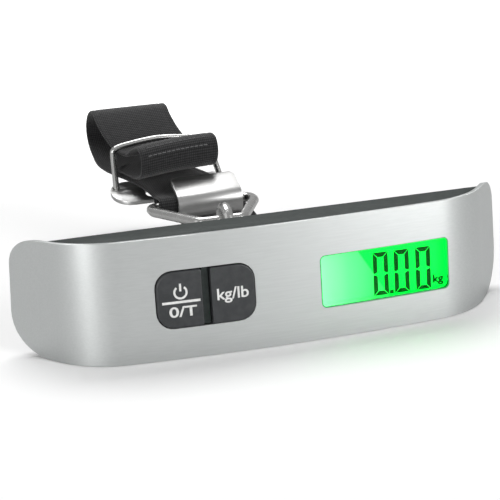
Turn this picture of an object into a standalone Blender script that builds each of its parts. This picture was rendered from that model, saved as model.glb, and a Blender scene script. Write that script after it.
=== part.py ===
"""Hand-held digital luggage scale, built as separate pieces at real size.

The body is drawn in its own frame: x along the handle, y from the cover's
front face towards the rear, z from the lower edge upwards.  An empty called
stance then leans it back on its drafted lower wall.  The ring and the strap
lie behind it and are drawn straight in the world frame, where the table is
z = 0 and the origin is the middle of the face that the body rests on.
"""
import math

import bmesh
import bpy
from mathutils import Matrix, Vector

mm = 0.001

# ---- cover and housing -------------------------------------------------
FACE_HEIGHT = 35.0 * mm
FRONT_RADIUS = 490.0 * mm
FRONT_HALF = 46.3 * mm
END_RADIUS = 25.2 * mm
END_ANGLE = math.radians(53.6)
DRAFT = math.radians(3.0)
BODY_DEPTH = 27.3 * mm
REAR_LEAN = math.radians(3.5)
LOWER_FILLET = 12.0 * mm
UPPER_FILLET = 8.0 * mm
COVER_THICK = 1.4 * mm
WALL = 1.8 * mm
FIT = 0.3 * mm
SEAM = 0.15 * mm
REST_Y = 8.5 * mm
PLAN_REACH = 36.0 * mm
OVERRUN = 5.0 * mm

# ---- display -----------------------------------------------------------
WINDOW_CENTRE = (29.5 * mm, 0.474 * FACE_HEIGHT)
WINDOW_SIZE = (40.0 * mm, 0.44 * FACE_HEIGHT)
WINDOW_CORNER = 1.6 * mm
LENS_RECESS = 0.35 * mm
LENS_THICK = 1.0 * mm
LENS_FLANGE = 1.2 * mm
LENS_FLANGE_THICK = 0.6 * mm
GLASS_FRONT = 0.216 * BODY_DEPTH
GLASS_THICK = 0.062 * BODY_DEPTH
GLASS_MARGIN = 1.0 * mm
BACKLIGHT_THICK = 0.044 * BODY_DEPTH
FRAME_WALL = 1.0 * mm
MOUTH_HALF = WINDOW_CENTRE[0] + WINDOW_SIZE[0] / 2 + 3.0 * mm
CONNECTOR_HEIGHT = 1.4 * mm

# ---- keys --------------------------------------------------------------
PANEL_CENTRE = (-23.9 * mm, 0.491 * FACE_HEIGHT)
PANEL_SIZE = (28.4 * mm, 0.477 * FACE_HEIGHT)
PANEL_CORNER = 4.9 * mm
GROOVE = 2.4 * mm
GROOVE_X = -23.65 * mm
KEY_PROUD = 0.7 * mm
KEY_FLANGE = 0.8 * mm
KEY_FLANGE_THICK = 1.2 * mm
KEY_TRAVEL = 0.5 * mm
KEY_SOFT_EDGE = 0.45 * mm
STEM_RADIUS = 2.0 * mm
PLUNGER_RADIUS = 1.5 * mm
SWITCH_SIZE = 6.0 * mm
SWITCH_HEIGHT = 3.1 * mm
CARRIER_THICK = 1.2 * mm

# ---- circuit board -----------------------------------------------------
BOARD_FRONT = 0.352 * BODY_DEPTH
BOARD_THICK = 1.6 * mm
BOARD_LEFT = -40.0 * mm
BOARD_RIGHT = 54.0 * mm
BOARD_LOW = 0.189 * FACE_HEIGHT
BOARD_HIGH = 0.789 * FACE_HEIGHT
BOARD_STEP_X = -29.0 * mm
BOARD_STEP = 2.0 * mm
BOARD_POSTS = ((2.6 * mm, 0.263 * FACE_HEIGHT), (4.2 * mm, 0.72 * FACE_HEIGHT))
BOARD_POST_RADIUS = 2.0 * mm
BOARD_SCREW_RADIUS = 0.7 * mm

# ---- housing screws ----------------------------------------------------
SCREW_LOW = 0.149 * FACE_HEIGHT
SCREW_HIGH = 0.837 * FACE_HEIGHT
SCREW_PLACES = ((-33.5 * mm, SCREW_LOW), (-33.5 * mm, SCREW_HIGH),
                (57.0 * mm, SCREW_LOW), (57.0 * mm, SCREW_HIGH))
COVER_BOSS_RADIUS = 2.3 * mm
HOUSING_BOSS_RADIUS = 3.0 * mm
BOSS_SPLIT = 0.513 * BODY_DEPTH
SCREW_RADIUS = 1.1 * mm
SCREW_HEAD_RADIUS = 2.2 * mm
SCREW_HEAD_THICK = 1.6 * mm
SCREW_SEAT = 0.733 * BODY_DEPTH

# ---- load cell and eye bolt --------------------------------------------
HOOK_X = -3.0 * mm
HOOK_Z = 0.686 * FACE_HEIGHT
BEAM_FRONT = BOARD_FRONT + BOARD_THICK + 2.4 * mm
BEAM_THICK = 0.3 * BODY_DEPTH
BEAM_HEIGHT = 0.286 * FACE_HEIGHT
BEAM_LEFT = -9.0 * mm
BEAM_RIGHT = 41.0 * mm
BEAM_HOLES = (10.0 * mm, 22.0 * mm)
BEAM_HOLE_RADIUS = 3.0 * mm
BEAM_SLOT = 2.0 * mm
BEAM_SCREWS = (32.0 * mm, 37.5 * mm)
BEAM_SCREW_RADIUS = 1.5 * mm
GAUGE_SIZE = (5.0 * mm, 0.5 * mm, 3.2 * mm)
SHANK_RADIUS = 2.0 * mm
WALL_HOLE_RADIUS = 3.2 * mm
EYE_Y = 53.5 * mm
EYE_RADIUS = 5.1 * mm
EYE_WIRE = 1.6 * mm
COLLAR_RADIUS = 3.6 * mm
COLLAR_LENGTH = 5.0 * mm
COLLAR_Y = 34.0 * mm
NUT_WIDTH = 7.0 * mm
NUT_THICK = 1.9 * mm

# ---- battery -----------------------------------------------------------
CELL_X = -(FRONT_HALF + 3.7 * mm)
CELL_Z = 0.5 * FACE_HEIGHT
CELL_RADIUS = 10.0 * mm
CELL_FRONT = BODY_DEPTH - 8.1 * mm
CELL_THICK = 3.2 * mm
POCKET_WALL = 2.1 * mm
POCKET_FRONT = CELL_FRONT - 2.6 * mm
DOOR_WIDTH = 21.6 * mm
DOOR_LOW = 5.6 * mm
DOOR_HIGH = FACE_HEIGHT - 3.4 * mm
DOOR_THICK = 1.8 * mm
DOOR_HINGE_Y = BODY_DEPTH - 3.2 * mm
HINGE_RELIEF = 2.8 * mm
NOTCH_WIDTH = 9.0 * mm
NOTCH_RADIUS = 1.6 * mm

# ---- ring, hook and strap (world frame) --------------------------------
RING_WIRE = 1.6 * mm
RING_REACH = 27.8 * mm
RING_DROP = 1.4 * mm
RING_NEAR_WIDTH = 13.6 * mm
RING_FAR_WIDTH = 33.4 * mm
RING_X = -3.8 * mm
RING_SHOULDER = 6.0 * mm
RING_CORNER = 2.8 * mm
STRAP_X = -4.5 * mm
WEB_WIDTH = 26.0 * mm
FOLD_STEP = 1.0 * mm
WEB_THICK = 1.2 * mm
PLATE_THICK = 1.2 * mm
HOOK_WIDTH = 21.4 * mm
HOOK_CENTRE = -1.1 * mm
HOOK_TIP = 9.0 * mm
HOOK_TIP_RISE = math.radians(20.0)
HOOK_LEG_RISE = math.radians(13.6)
HEAD_RUN = 12.5 * mm
HEAD_DEPTH = 14.0 * mm
HEAD_LEFT = -29.0 * mm
HEAD_RIGHT = 13.0 * mm
HEAD_CORNER = 6.5 * mm
SLOT_DEPTH = 5.7 * mm
SLOT_WIDTH = 28.6 * mm
SLOT_X = -3.6 * mm
BAIL_WIRE = 1.0 * mm
BAIL_HEIGHT = 18.2 * mm
BAIL_LEFT = -26.6 * mm
BAIL_RIGHT = 9.4 * mm

SMALL_ROUND = 24
LARGE_ROUND = 40
WELD = 0.00001


# ---- scene set-up ------------------------------------------------------
for old in list(bpy.data.objects):
    bpy.data.objects.remove(old, do_unlink=True)

product = bpy.data.collections.new("digital_luggage_scale")
cutters = bpy.data.collections.new("cutters")
bpy.context.scene.collection.children.link(product)
bpy.context.scene.collection.children.link(cutters)

stance = bpy.data.objects.new("stance", None)
product.objects.link(stance)
stance.rotation_euler = (-DRAFT, 0.0, 0.0)
LEAN = Matrix.Rotation(-DRAFT, 4, "X")
REST_POINT = Vector((0.0, REST_Y, REST_Y * math.tan(DRAFT)))
stance.location = -(LEAN @ REST_POINT)


def to_world(point):
    """Body-frame point in the world frame."""
    return LEAN @ (Vector(point) - REST_POINT)


EYE_WORLD = to_world((HOOK_X, EYE_Y, HOOK_Z))
RING_NEAR_Y = EYE_WORLD.y + 0.53 * mm
RING_NEAR_Z = EYE_WORLD.z + 1.23 * mm
RING_FAR_Y = RING_NEAR_Y + RING_REACH
RING_FAR_Z = RING_NEAR_Z - RING_DROP
HEAD_START = RING_FAR_Y + HEAD_RUN
HEAD_END = HEAD_START + HEAD_DEPTH
SLOT_START = HEAD_START + 1.9 * mm
SLOT_END = SLOT_START + SLOT_DEPTH
BAIL_Y = HEAD_END - 3.8 * mm


# ---- materials ---------------------------------------------------------
def material(name, colour, roughness, metallic=0.0, emission=0.0, alpha=1.0):
    made = bpy.data.materials.new(name)
    made.use_nodes = True
    shader = made.node_tree.nodes["Principled BSDF"]
    shader.inputs["Base Color"].default_value = (*colour, 1.0)
    shader.inputs["Roughness"].default_value = roughness
    shader.inputs["Metallic"].default_value = metallic
    shader.inputs["Emission Color"].default_value = (*colour, 1.0)
    shader.inputs["Emission Strength"].default_value = emission
    shader.inputs["Alpha"].default_value = alpha
    made.diffuse_color = (*colour, 1.0)
    return made


SATIN_SILVER = material("satin_silver", (0.62, 0.63, 0.64), 0.34, 0.85)
BLACK_PLASTIC = material("black_plastic", (0.036, 0.044, 0.042), 0.42)
KEY_RUBBER = material("key_rubber", (0.028, 0.03, 0.031), 0.5)
CLEAR_LENS = material("clear_lens", (0.3, 0.95, 0.45), 0.06, 0.0, 0.0, 0.35)
DISPLAY_GLASS = material("display_glass", (0.05, 0.9, 0.2), 0.1)
BACKLIGHT = material("backlight", (0.1, 1.0, 0.25), 0.5, 0.0, 1.0)
WHITE_PLASTIC = material("white_plastic", (0.78, 0.78, 0.76), 0.5)
GREEN_BOARD = material("green_board", (0.02, 0.16, 0.06), 0.45)
BRIGHT_STEEL = material("bright_steel", (0.66, 0.66, 0.65), 0.16, 1.0)
PLAIN_STEEL = material("plain_steel", (0.5, 0.5, 0.5), 0.32, 1.0)
ALUMINIUM = material("aluminium", (0.7, 0.71, 0.73), 0.38, 1.0)
GAUGE_FILM = material("gauge_film", (0.75, 0.42, 0.1), 0.4)
BLACK_WEBBING = material("black_webbing", (0.02, 0.02, 0.022), 0.85)
PINK_ELASTOMER = material("pink_elastomer", (0.75, 0.35, 0.38), 0.7)
EPOXY = material("black_epoxy", (0.015, 0.015, 0.015), 0.25)


# ---- modelling helpers -------------------------------------------------
def place(obj, name, finish, parent=stance):
    """Name a finished piece, give it its material and hang it on its parent."""
    obj.name = name
    obj.data.name = name
    obj.data.materials.clear()
    obj.data.materials.append(finish)
    obj.parent = parent
    for group in list(obj.users_collection):
        group.objects.unlink(obj)
    product.objects.link(obj)
    return obj


def hang_on_pivot(obj, name, centre, parent=stance):
    """Give a moving piece an empty on its joint's axis, and leave it where it is."""
    pivot = bpy.data.objects.new(name, None)
    product.objects.link(pivot)
    pivot.parent = parent
    pivot.location = centre
    obj.parent = pivot
    obj.location = -Vector(centre)
    return obj


def as_tool(obj, parent=stance):
    """Keep a cutter or an operand out of the finished product."""
    obj.hide_render = True
    obj.display_type = "WIRE"
    obj.parent = parent
    for group in list(obj.users_collection):
        group.objects.unlink(obj)
    cutters.objects.link(obj)
    return obj


def boolean(target, tool, operation, parent=stance):
    step = target.modifiers.new(operation.lower(), "BOOLEAN")
    step.operation = operation
    step.solver = "EXACT"
    step.object = as_tool(tool, parent)
    return target


def cut(target, *tools, parent=stance):
    for tool in tools:
        boolean(target, tool, "DIFFERENCE", parent)
    return target


def join(target, *tools, parent=stance):
    for tool in tools:
        boolean(target, tool, "UNION", parent)
    return target


def keep_common(target, tool, parent=stance):
    return boolean(target, tool, "INTERSECT", parent)


def curve_to_mesh(curve_object):
    """Turn a curve object into a welded, closed mesh object."""
    bpy.context.view_layer.update()
    graph = bpy.context.evaluated_depsgraph_get()
    data = bpy.data.meshes.new_from_object(curve_object.evaluated_get(graph))
    shape = bmesh.new()
    shape.from_mesh(data)
    bmesh.ops.remove_doubles(shape, verts=shape.verts, dist=WELD)
    bmesh.ops.recalc_face_normals(shape, faces=shape.faces)
    shape.to_mesh(data)
    shape.free()
    made = bpy.data.objects.new(curve_object.name + "_mesh", data)
    bpy.context.scene.collection.objects.link(made)
    made.matrix_world = curve_object.matrix_world
    bpy.data.objects.remove(curve_object, do_unlink=True)
    return made


TURNS = {
    "X": Matrix(((0, 0, 1), (1, 0, 0), (0, 1, 0))),
    "Y": Matrix(((1, 0, 0), (0, 0, -1), (0, 1, 0))),
    "Z": Matrix.Identity(3),
}
STEP_OUT = {"X": Vector((1, 0, 0)), "Y": Vector((0, 1, 0)), "Z": Vector((0, 0, 1))}


def prism(outline, axis, low, high):
    """A flat outline extruded along an axis.

    The outline's two numbers are (y, z) along X, (x, z) along Y and (x, y)
    along Z.
    """
    data = bpy.data.curves.new("outline", "CURVE")
    data.dimensions = "2D"
    data.fill_mode = "BOTH"
    data.extrude = (high - low) / 2
    line = data.splines.new("POLY")
    line.points.add(len(outline) - 1)
    for point, (across, up) in zip(line.points, outline):
        point.co = (across, up, 0.0, 1.0)
    line.use_cyclic_u = True
    flat = bpy.data.objects.new("outline", data)
    bpy.context.scene.collection.objects.link(flat)
    flat.matrix_world = (Matrix.Translation(STEP_OUT[axis] * (low + high) / 2)
                         @ TURNS[axis].to_4x4())
    made = curve_to_mesh(flat)
    made.data.transform(made.matrix_world)
    made.matrix_world = Matrix.Identity(4)
    return made


def box(low, high):
    """A box between two corners."""
    centre = [(a + b) / 2 for a, b in zip(low, high)]
    bpy.ops.mesh.primitive_cube_add(size=1.0, location=centre)
    made = bpy.context.object
    made.scale = [b - a for a, b in zip(low, high)]
    bpy.ops.object.transform_apply(location=True, rotation=True, scale=True)
    return made


def rod(radius, low, high, place_1, place_2, axis="Y", sides=SMALL_ROUND):
    """A cylinder along an axis; the two places are its other coordinates."""
    middle = (low + high) / 2
    spots = {"X": (middle, place_1, place_2),
             "Y": (place_1, middle, place_2),
             "Z": (place_1, place_2, middle)}
    turns = {"X": (0, math.pi / 2, 0), "Y": (math.pi / 2, 0, 0), "Z": (0, 0, 0)}
    bpy.ops.mesh.primitive_cylinder_add(vertices=sides, radius=radius, depth=high - low,
                                        location=spots[axis], rotation=turns[axis])
    made = bpy.context.object
    bpy.ops.object.transform_apply(location=True, rotation=True, scale=True)
    made.data.shade_smooth()
    made.data.set_sharp_from_angle(angle=math.radians(35))
    return made


def wire(points, radius, cyclic=False, resolution=3):
    """A round wire through points, as a welded mesh."""
    data = bpy.data.curves.new("wire", "CURVE")
    data.dimensions = "3D"
    data.bevel_depth = radius
    data.bevel_resolution = resolution
    data.use_fill_caps = True
    line = data.splines.new("POLY")
    line.points.add(len(points) - 1)
    for point, place_at in zip(line.points, points):
        point.co = (*place_at, 1.0)
    line.use_cyclic_u = cyclic
    made = bpy.data.objects.new("wire", data)
    bpy.context.scene.collection.objects.link(made)
    return curve_to_mesh(made)


def filleted(corners, radii, steps=8):
    """Close an outline of straight sides, with an arc at each rounded corner."""
    outline = []
    count = len(corners)
    for index, (corner, radius) in enumerate(zip(corners, radii)):
        here = Vector(corner)
        before = (Vector(corners[index - 1]) - here).normalized()
        after = (Vector(corners[(index + 1) % count]) - here).normalized()
        if radius <= 0:
            outline.append(tuple(here))
            continue
        half = before.angle(after) / 2
        centre = here + (before + after).normalized() * radius / math.sin(half)
        start = here + before * radius / math.tan(half) - centre
        end = here + after * radius / math.tan(half) - centre
        turn = start.angle_signed(end)
        for step in range(steps + 1):
            spin = Matrix.Rotation(-turn * step / steps, 2)
            outline.append(tuple(centre + spin @ start))
    return outline


def rounded_rectangle(centre, size, radius, steps=6):
    (cx, cz), (width, height) = centre, size
    corners = ((cx - width / 2, cz - height / 2), (cx + width / 2, cz - height / 2),
               (cx + width / 2, cz + height / 2), (cx - width / 2, cz + height / 2))
    return filleted(corners, (radius,) * 4, steps)


# ---- the body's two driving curves -------------------------------------
def plan_line(inset, front_steps=8, end_steps=12):
    """The cover's outer face from above, moved in by inset, left rear to right rear."""
    join_angle = math.asin(FRONT_HALF / FRONT_RADIUS)
    half = []
    for step in range(front_steps + 1):
        angle = join_angle * step / front_steps
        half.append(((FRONT_RADIUS - inset) * math.sin(angle),
                     FRONT_RADIUS - (FRONT_RADIUS - inset) * math.cos(angle)))
    centre_x = (FRONT_RADIUS - END_RADIUS) * math.sin(join_angle)
    centre_y = FRONT_RADIUS - (FRONT_RADIUS - END_RADIUS) * math.cos(join_angle)
    for step in range(1, end_steps + 1):
        angle = join_angle + (END_ANGLE - join_angle) * step / end_steps
        half.append((centre_x + (END_RADIUS - inset) * math.sin(angle),
                     centre_y - (END_RADIUS - inset) * math.cos(angle)))
    last_x, last_y = half[-1]
    half.append((last_x + (PLAN_REACH - last_y) / math.tan(END_ANGLE), PLAN_REACH))
    return [(-x, y) for x, y in reversed(half[1:])] + half


def face_depth(x):
    """Depth of the cover's outer face at x, on the front arc."""
    return FRONT_RADIUS - math.sqrt(FRONT_RADIUS ** 2 - x ** 2)


def skin(outer, inner):
    """A curved slab that follows the cover's face, between two insets."""
    outline = plan_line(outer) + list(reversed(plan_line(inner)))
    return prism(outline, "Z", -OVERRUN, FACE_HEIGHT + OVERRUN)


def side_outline(inset, top_drafted=True, front=-OVERRUN):
    """The body's section from the end, moved in by inset, open towards the front."""
    rise = math.tan(DRAFT)
    lean = math.tan(REAR_LEAN)
    step_in = inset / math.cos(DRAFT)
    top_rise = rise if top_drafted else 0.0
    rear = BODY_DEPTH - inset / math.cos(REAR_LEAN)
    low_y = (rear - lean * step_in) / (1 + lean * rise)
    high_y = (rear - lean * (FACE_HEIGHT - step_in)) / (1 - lean * top_rise)
    corners = ((front, front * rise + step_in),
               (low_y, low_y * rise + step_in),
               (high_y, FACE_HEIGHT - high_y * top_rise - step_in),
               (front, FACE_HEIGHT - front * top_rise - step_in))
    return filleted(corners, (0, LOWER_FILLET - inset, UPPER_FILLET - inset, 0), 10)


def section(inset, top_drafted=True):
    half = FRONT_HALF * 2
    return prism(side_outline(inset, top_drafted), "X", -half, half)


# ---- front cover -------------------------------------------------------
def front_cover():
    ribbon = plan_line(0.0) + list(reversed(plan_line(COVER_THICK)))
    cover = prism(ribbon, "Z", 0.0, FACE_HEIGHT)
    keep_common(cover, section(0.0, top_drafted=False))
    for x, z in SCREW_PLACES:
        join(cover, cover_post(x, z, COVER_BOSS_RADIUS, BOSS_SPLIT))
        cut(cover, rod(SCREW_RADIUS + FIT, SCREW_SEAT / 2, BOSS_SPLIT + OVERRUN, x, z))
    for x, z in BOARD_POSTS:
        join(cover, cover_post(x, z, BOARD_POST_RADIUS, BOARD_FRONT - FIT))
        cut(cover, rod(BOARD_SCREW_RADIUS + FIT, BOARD_FRONT / 2, BOARD_FRONT + OVERRUN, x, z))
    window = rounded_rectangle(WINDOW_CENTRE, WINDOW_SIZE, WINDOW_CORNER)
    panel = rounded_rectangle(PANEL_CENTRE, PANEL_SIZE, PANEL_CORNER)
    cut(cover, prism(window, "Y", -OVERRUN, 2 * OVERRUN),
        prism(panel, "Y", -OVERRUN, 2 * OVERRUN))
    return place(cover, "front_cover", SATIN_SILVER)


def cover_post(x, z, radius, end):
    """A round post that grows out of the cover's inner face."""
    post = rod(radius, -OVERRUN, end, x, z)
    keep_common(post, skin(COVER_THICK / 2, PLAN_REACH - FRONT_HALF / 2))
    return post


# ---- rear housing ------------------------------------------------------
def housing_hollow():
    """The housing's inside: what is left of it once posts and pockets stand in it."""
    inner = plan_line(COVER_THICK + SEAM + WALL)
    ends = [point for point in inner if abs(point[0]) > MOUTH_HALF]
    left = [point for point in ends if point[0] < 0]
    right = [point for point in ends if point[0] > 0]
    opening = [(left[-1][0], -OVERRUN), (right[0][0], -OVERRUN)]
    hollow = prism(left + opening + right, "Z", -OVERRUN, FACE_HEIGHT + OVERRUN)
    keep_common(hollow, section(WALL))
    for x, z in SCREW_PLACES:
        cut(hollow, rod(HOUSING_BOSS_RADIUS, BOSS_SPLIT + FIT, PLAN_REACH, x, z))
    pad_left = BEAM_SCREWS[0] - 3.5 * mm
    cut(hollow, box((pad_left, BEAM_FRONT + BEAM_THICK + FIT, HOOK_Z - BEAM_HEIGHT / 2),
                    (BEAM_RIGHT, PLAN_REACH, HOOK_Z + BEAM_HEIGHT / 2)))
    pocket = CELL_RADIUS + 2 * FIT + POCKET_WALL
    cut(hollow, box((CELL_X - pocket, POCKET_FRONT, CELL_Z - pocket),
                    (CELL_X + pocket, PLAN_REACH, CELL_Z + pocket)))
    return hollow


def door_block(side_gap, low, high):
    """The block of space that the battery door takes from the rear wall."""
    half = DOOR_WIDTH / 2 + side_gap
    return box((CELL_X - half, REST_Y + OVERRUN, low), (CELL_X + half, PLAN_REACH, high))


def rear_housing():
    shell = prism(plan_line(COVER_THICK + SEAM), "Z", -OVERRUN, FACE_HEIGHT + OVERRUN)
    keep_common(shell, section(0.0))
    cut(shell, housing_hollow())
    for x, z in SCREW_PLACES:
        cut(shell, rod(COVER_BOSS_RADIUS + FIT, -OVERRUN, BOSS_SPLIT + FIT, x, z),
            rod(SCREW_RADIUS + FIT, BOSS_SPLIT - OVERRUN, PLAN_REACH, x, z),
            rod(SCREW_HEAD_RADIUS + FIT, SCREW_SEAT, PLAN_REACH, x, z))
    cut(shell, rod(WALL_HOLE_RADIUS, BEAM_FRONT, PLAN_REACH, HOOK_X, HOOK_Z))
    for x in BEAM_SCREWS:
        cut(shell, rod(BEAM_SCREW_RADIUS + FIT, BEAM_FRONT, BODY_DEPTH - 2 * WALL, x, HOOK_Z))
    opening = door_block(FIT, DOOR_LOW - FIT, DOOR_HIGH + FIT)
    cut(opening, section(DOOR_THICK + FIT))
    cut(shell, opening)
    half = DOOR_WIDTH / 2 + FIT
    relief = rod(HINGE_RELIEF, CELL_X - half, CELL_X + half, DOOR_HINGE_Y, DOOR_LOW, "X")
    cut(relief, box((CELL_X - 2 * half, 0.0, 0.0),
                    (CELL_X + 2 * half, PLAN_REACH, DOOR_LOW - FIT)))
    cut(shell, relief)
    cut(shell, rod(CELL_RADIUS + 2 * FIT, CELL_FRONT - 2 * FIT, PLAN_REACH,
                   CELL_X, CELL_Z, sides=LARGE_ROUND))
    cut(shell, box((CELL_X - 3 * mm, POCKET_FRONT - 1 * mm, CELL_Z - 2.5 * mm),
                   (CELL_X + 3 * mm, CELL_FRONT, CELL_Z + 2.5 * mm)))
    slot_x = CELL_X + CELL_RADIUS
    cut(shell, box((slot_x, POCKET_FRONT - 1 * mm, CELL_Z - 4 * mm),
                   (slot_x + 1.5 * mm, CELL_FRONT + CELL_THICK, CELL_Z + 4 * mm)))
    notch_y = BODY_DEPTH - math.tan(REAR_LEAN) * FACE_HEIGHT - UPPER_FILLET * 0.32
    cut(shell, rod(NOTCH_RADIUS, CELL_X - NOTCH_WIDTH / 2, CELL_X + NOTCH_WIDTH / 2,
                   notch_y, FACE_HEIGHT - 1.9 * mm, "X", 16))
    return place(shell, "rear_housing", BLACK_PLASTIC)


# ---- battery -----------------------------------------------------------
def sagging_line(first, last, steps=10):
    """A soft S between two points, straight in depth."""
    points = []
    for step in range(steps + 1):
        share = step / steps
        ease = share * share * (3 - 2 * share)
        points.append((first.x + (last.x - first.x) * ease,
                       first.y + (last.y - first.y) * share,
                       first.z + (last.z - first.z) * ease))
    return points


def battery_door():
    """The door is a slice of the rear wall; its pivot is its lower outer edge."""
    door = door_block(0.0, DOOR_LOW, DOOR_HIGH)
    keep_common(door, section(0.0))
    cut(door, section(DOOR_THICK))
    for step in range(3):
        z = CELL_Z - 3 * mm + step * 3 * mm
        rear = BODY_DEPTH - math.tan(REAR_LEAN) * z
        cut(door, rod(0.6 * mm, CELL_X - 5 * mm, CELL_X + 5 * mm, rear + 0.1 * mm, z, "X", 12))
    place(door, "battery_door", BLACK_PLASTIC)
    return hang_on_pivot(door, "door_hinge", (CELL_X, DOOR_HINGE_Y, DOOR_LOW))


def coin_cell():
    low, high = CELL_FRONT, CELL_FRONT + CELL_THICK
    can = rod(CELL_RADIUS, low + 0.5 * mm, high, CELL_X, CELL_Z, sides=LARGE_ROUND)
    join(can, rod(CELL_RADIUS - 1.2 * mm, low, low + 1.0 * mm, CELL_X, CELL_Z,
                  sides=LARGE_ROUND))
    return place(can, "coin_cell", BRIGHT_STEEL)


def battery_spring():
    """A sprung leaf that presses on the cell's small face."""
    front, rear = POCKET_FRONT + 0.5 * mm, CELL_FRONT - 0.2 * mm
    half = 1.6 * mm
    leaf = [(front, CELL_Z - half), (front + 0.3 * mm, CELL_Z - half),
            (rear, CELL_Z), (front + 0.3 * mm, CELL_Z + half),
            (front, CELL_Z + half), (rear - 0.4 * mm, CELL_Z)]
    return place(prism(leaf, "X", CELL_X - half, CELL_X + half), "battery_spring", PLAIN_STEEL)


def battery_contact():
    """The strip that touches the cell's rim."""
    x = CELL_X + CELL_RADIUS + FIT
    strip = box((x, POCKET_FRONT + 0.5 * mm, CELL_Z - 3 * mm),
                (x + 0.5 * mm, CELL_FRONT + CELL_THICK - FIT, CELL_Z + 3 * mm))
    return place(strip, "battery_contact", PLAIN_STEEL)


def battery_leads():
    """Two short insulated leads from the contacts to the back of the board."""
    rear = BOARD_FRONT + BOARD_THICK + FIT
    starts = ((CELL_X + CELL_RADIUS + 0.5 * mm, CELL_Z + 1.5 * mm),
              (CELL_X + 1.0 * mm, CELL_Z - 1.5 * mm))
    ends = ((BOARD_LEFT + 2.5 * mm, CELL_Z + 3 * mm), (BOARD_LEFT + 2.5 * mm, CELL_Z - 3 * mm))
    for name, start, end in zip(("battery_lead_rim", "battery_lead_face"), starts, ends):
        first = Vector((start[0], POCKET_FRONT - 0.2 * mm, start[1]))
        last = Vector((end[0], rear, end[1]))
        place(wire(sagging_line(first, last), 0.5 * mm, resolution=1), name, EPOXY)


# ---- display -----------------------------------------------------------
def window_lens():
    size = [side - 2 * SEAM for side in WINDOW_SIZE]
    face = prism(rounded_rectangle(WINDOW_CENTRE, size, WINDOW_CORNER), "Y",
                 -OVERRUN, 2 * OVERRUN)
    keep_common(face, skin(LENS_RECESS, LENS_RECESS + LENS_THICK + 0.8 * mm))
    wide = [side + 2 * LENS_FLANGE for side in WINDOW_SIZE]
    flange = prism(rounded_rectangle(WINDOW_CENTRE, wide, WINDOW_CORNER), "Y",
                   -OVERRUN, 2 * OVERRUN)
    back = COVER_THICK + SEAM
    keep_common(flange, skin(back, back + LENS_FLANGE_THICK))
    join(face, flange)
    return place(face, "window_lens", CLEAR_LENS)


def display_box(margin, front, rear, low_trim=0.0):
    (cx, cz), (width, height) = WINDOW_CENTRE, WINDOW_SIZE
    return box((cx - width / 2 - margin, front, cz - height / 2 - margin + low_trim),
               (cx + width / 2 + margin, rear, cz + height / 2 + margin))


def lcd_glass():
    glass = display_box(GLASS_MARGIN, GLASS_FRONT, GLASS_FRONT + GLASS_THICK)
    ledge = display_box(GLASS_MARGIN + FIT, GLASS_FRONT - FIT, GLASS_FRONT + GLASS_THICK / 2,
                        WINDOW_SIZE[1] + 2 * GLASS_MARGIN - 1.0 * mm)
    cut(glass, ledge)
    return place(glass, "lcd_glass", DISPLAY_GLASS)


def lcd_backlight():
    front = GLASS_FRONT + GLASS_THICK + 0.2 * mm
    sheet = display_box(GLASS_MARGIN, front, front + BACKLIGHT_THICK, CONNECTOR_HEIGHT + 2 * FIT)
    edge = sheet.modifiers.new("soft_edge", "BEVEL")
    edge.width = 0.2 * mm
    edge.segments = 1
    return place(sheet, "lcd_backlight", BACKLIGHT)


def elastomer_connector():
    (cx, cz), (width, height) = WINDOW_CENTRE, WINDOW_SIZE
    low = cz - height / 2 - GLASS_MARGIN
    strip = box((cx - width / 2, GLASS_FRONT + GLASS_THICK + 0.1 * mm, low),
                (cx + width / 2, BOARD_FRONT - 0.1 * mm, low + CONNECTOR_HEIGHT))
    return place(strip, "elastomer_connector", PINK_ELASTOMER)


def lcd_frame():
    """A frame that holds glass and backlight square on the board."""
    front, rear = GLASS_FRONT - 0.1 * mm, BOARD_FRONT - 0.1 * mm
    frame = display_box(GLASS_MARGIN + FIT + FRAME_WALL, front, rear)
    cut(frame, display_box(GLASS_MARGIN + FIT, front - OVERRUN, rear + OVERRUN))
    (cx, cz), (width, height) = WINDOW_CENTRE, WINDOW_SIZE
    for side in (-1, 1):
        x = cx + side * width / 4
        cut(frame, box((x - 2 * mm, front - OVERRUN, cz - height),
                       (x + 2 * mm, front + 0.8 * mm, cz + height)))
    return place(frame, "lcd_frame", WHITE_PLASTIC)


# ---- keys --------------------------------------------------------------
def key_outline(side, grow, inner_grow=0.0):
    """One key's outline: rounded on the panel's outer side, straight at the groove."""
    (cx, cz), (width, height) = PANEL_CENTRE, PANEL_SIZE
    low, high = cz - height / 2 - grow, cz + height / 2 + grow
    outer = cx + side * (width / 2 + grow)
    inner = GROOVE_X + side * (GROOVE / 2 - inner_grow)
    corners = ((inner, low), (outer, low), (outer, high), (inner, high))
    radii = (0.6 * mm, PANEL_CORNER + grow, PANEL_CORNER + grow, 0.6 * mm)
    if side < 0:
        corners, radii = corners[::-1], radii[::-1]
    return filleted(corners, radii, 6)


def key_x(side):
    (cx, _), (width, _) = PANEL_CENTRE, PANEL_SIZE
    return (cx + side * width / 2 + GROOVE_X + side * GROOVE / 2) / 2


def key_back(side):
    """Depth of the rear of a key's flange at the key's middle."""
    return face_depth(key_x(side)) + COVER_THICK + FIT + KEY_FLANGE_THICK


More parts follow.
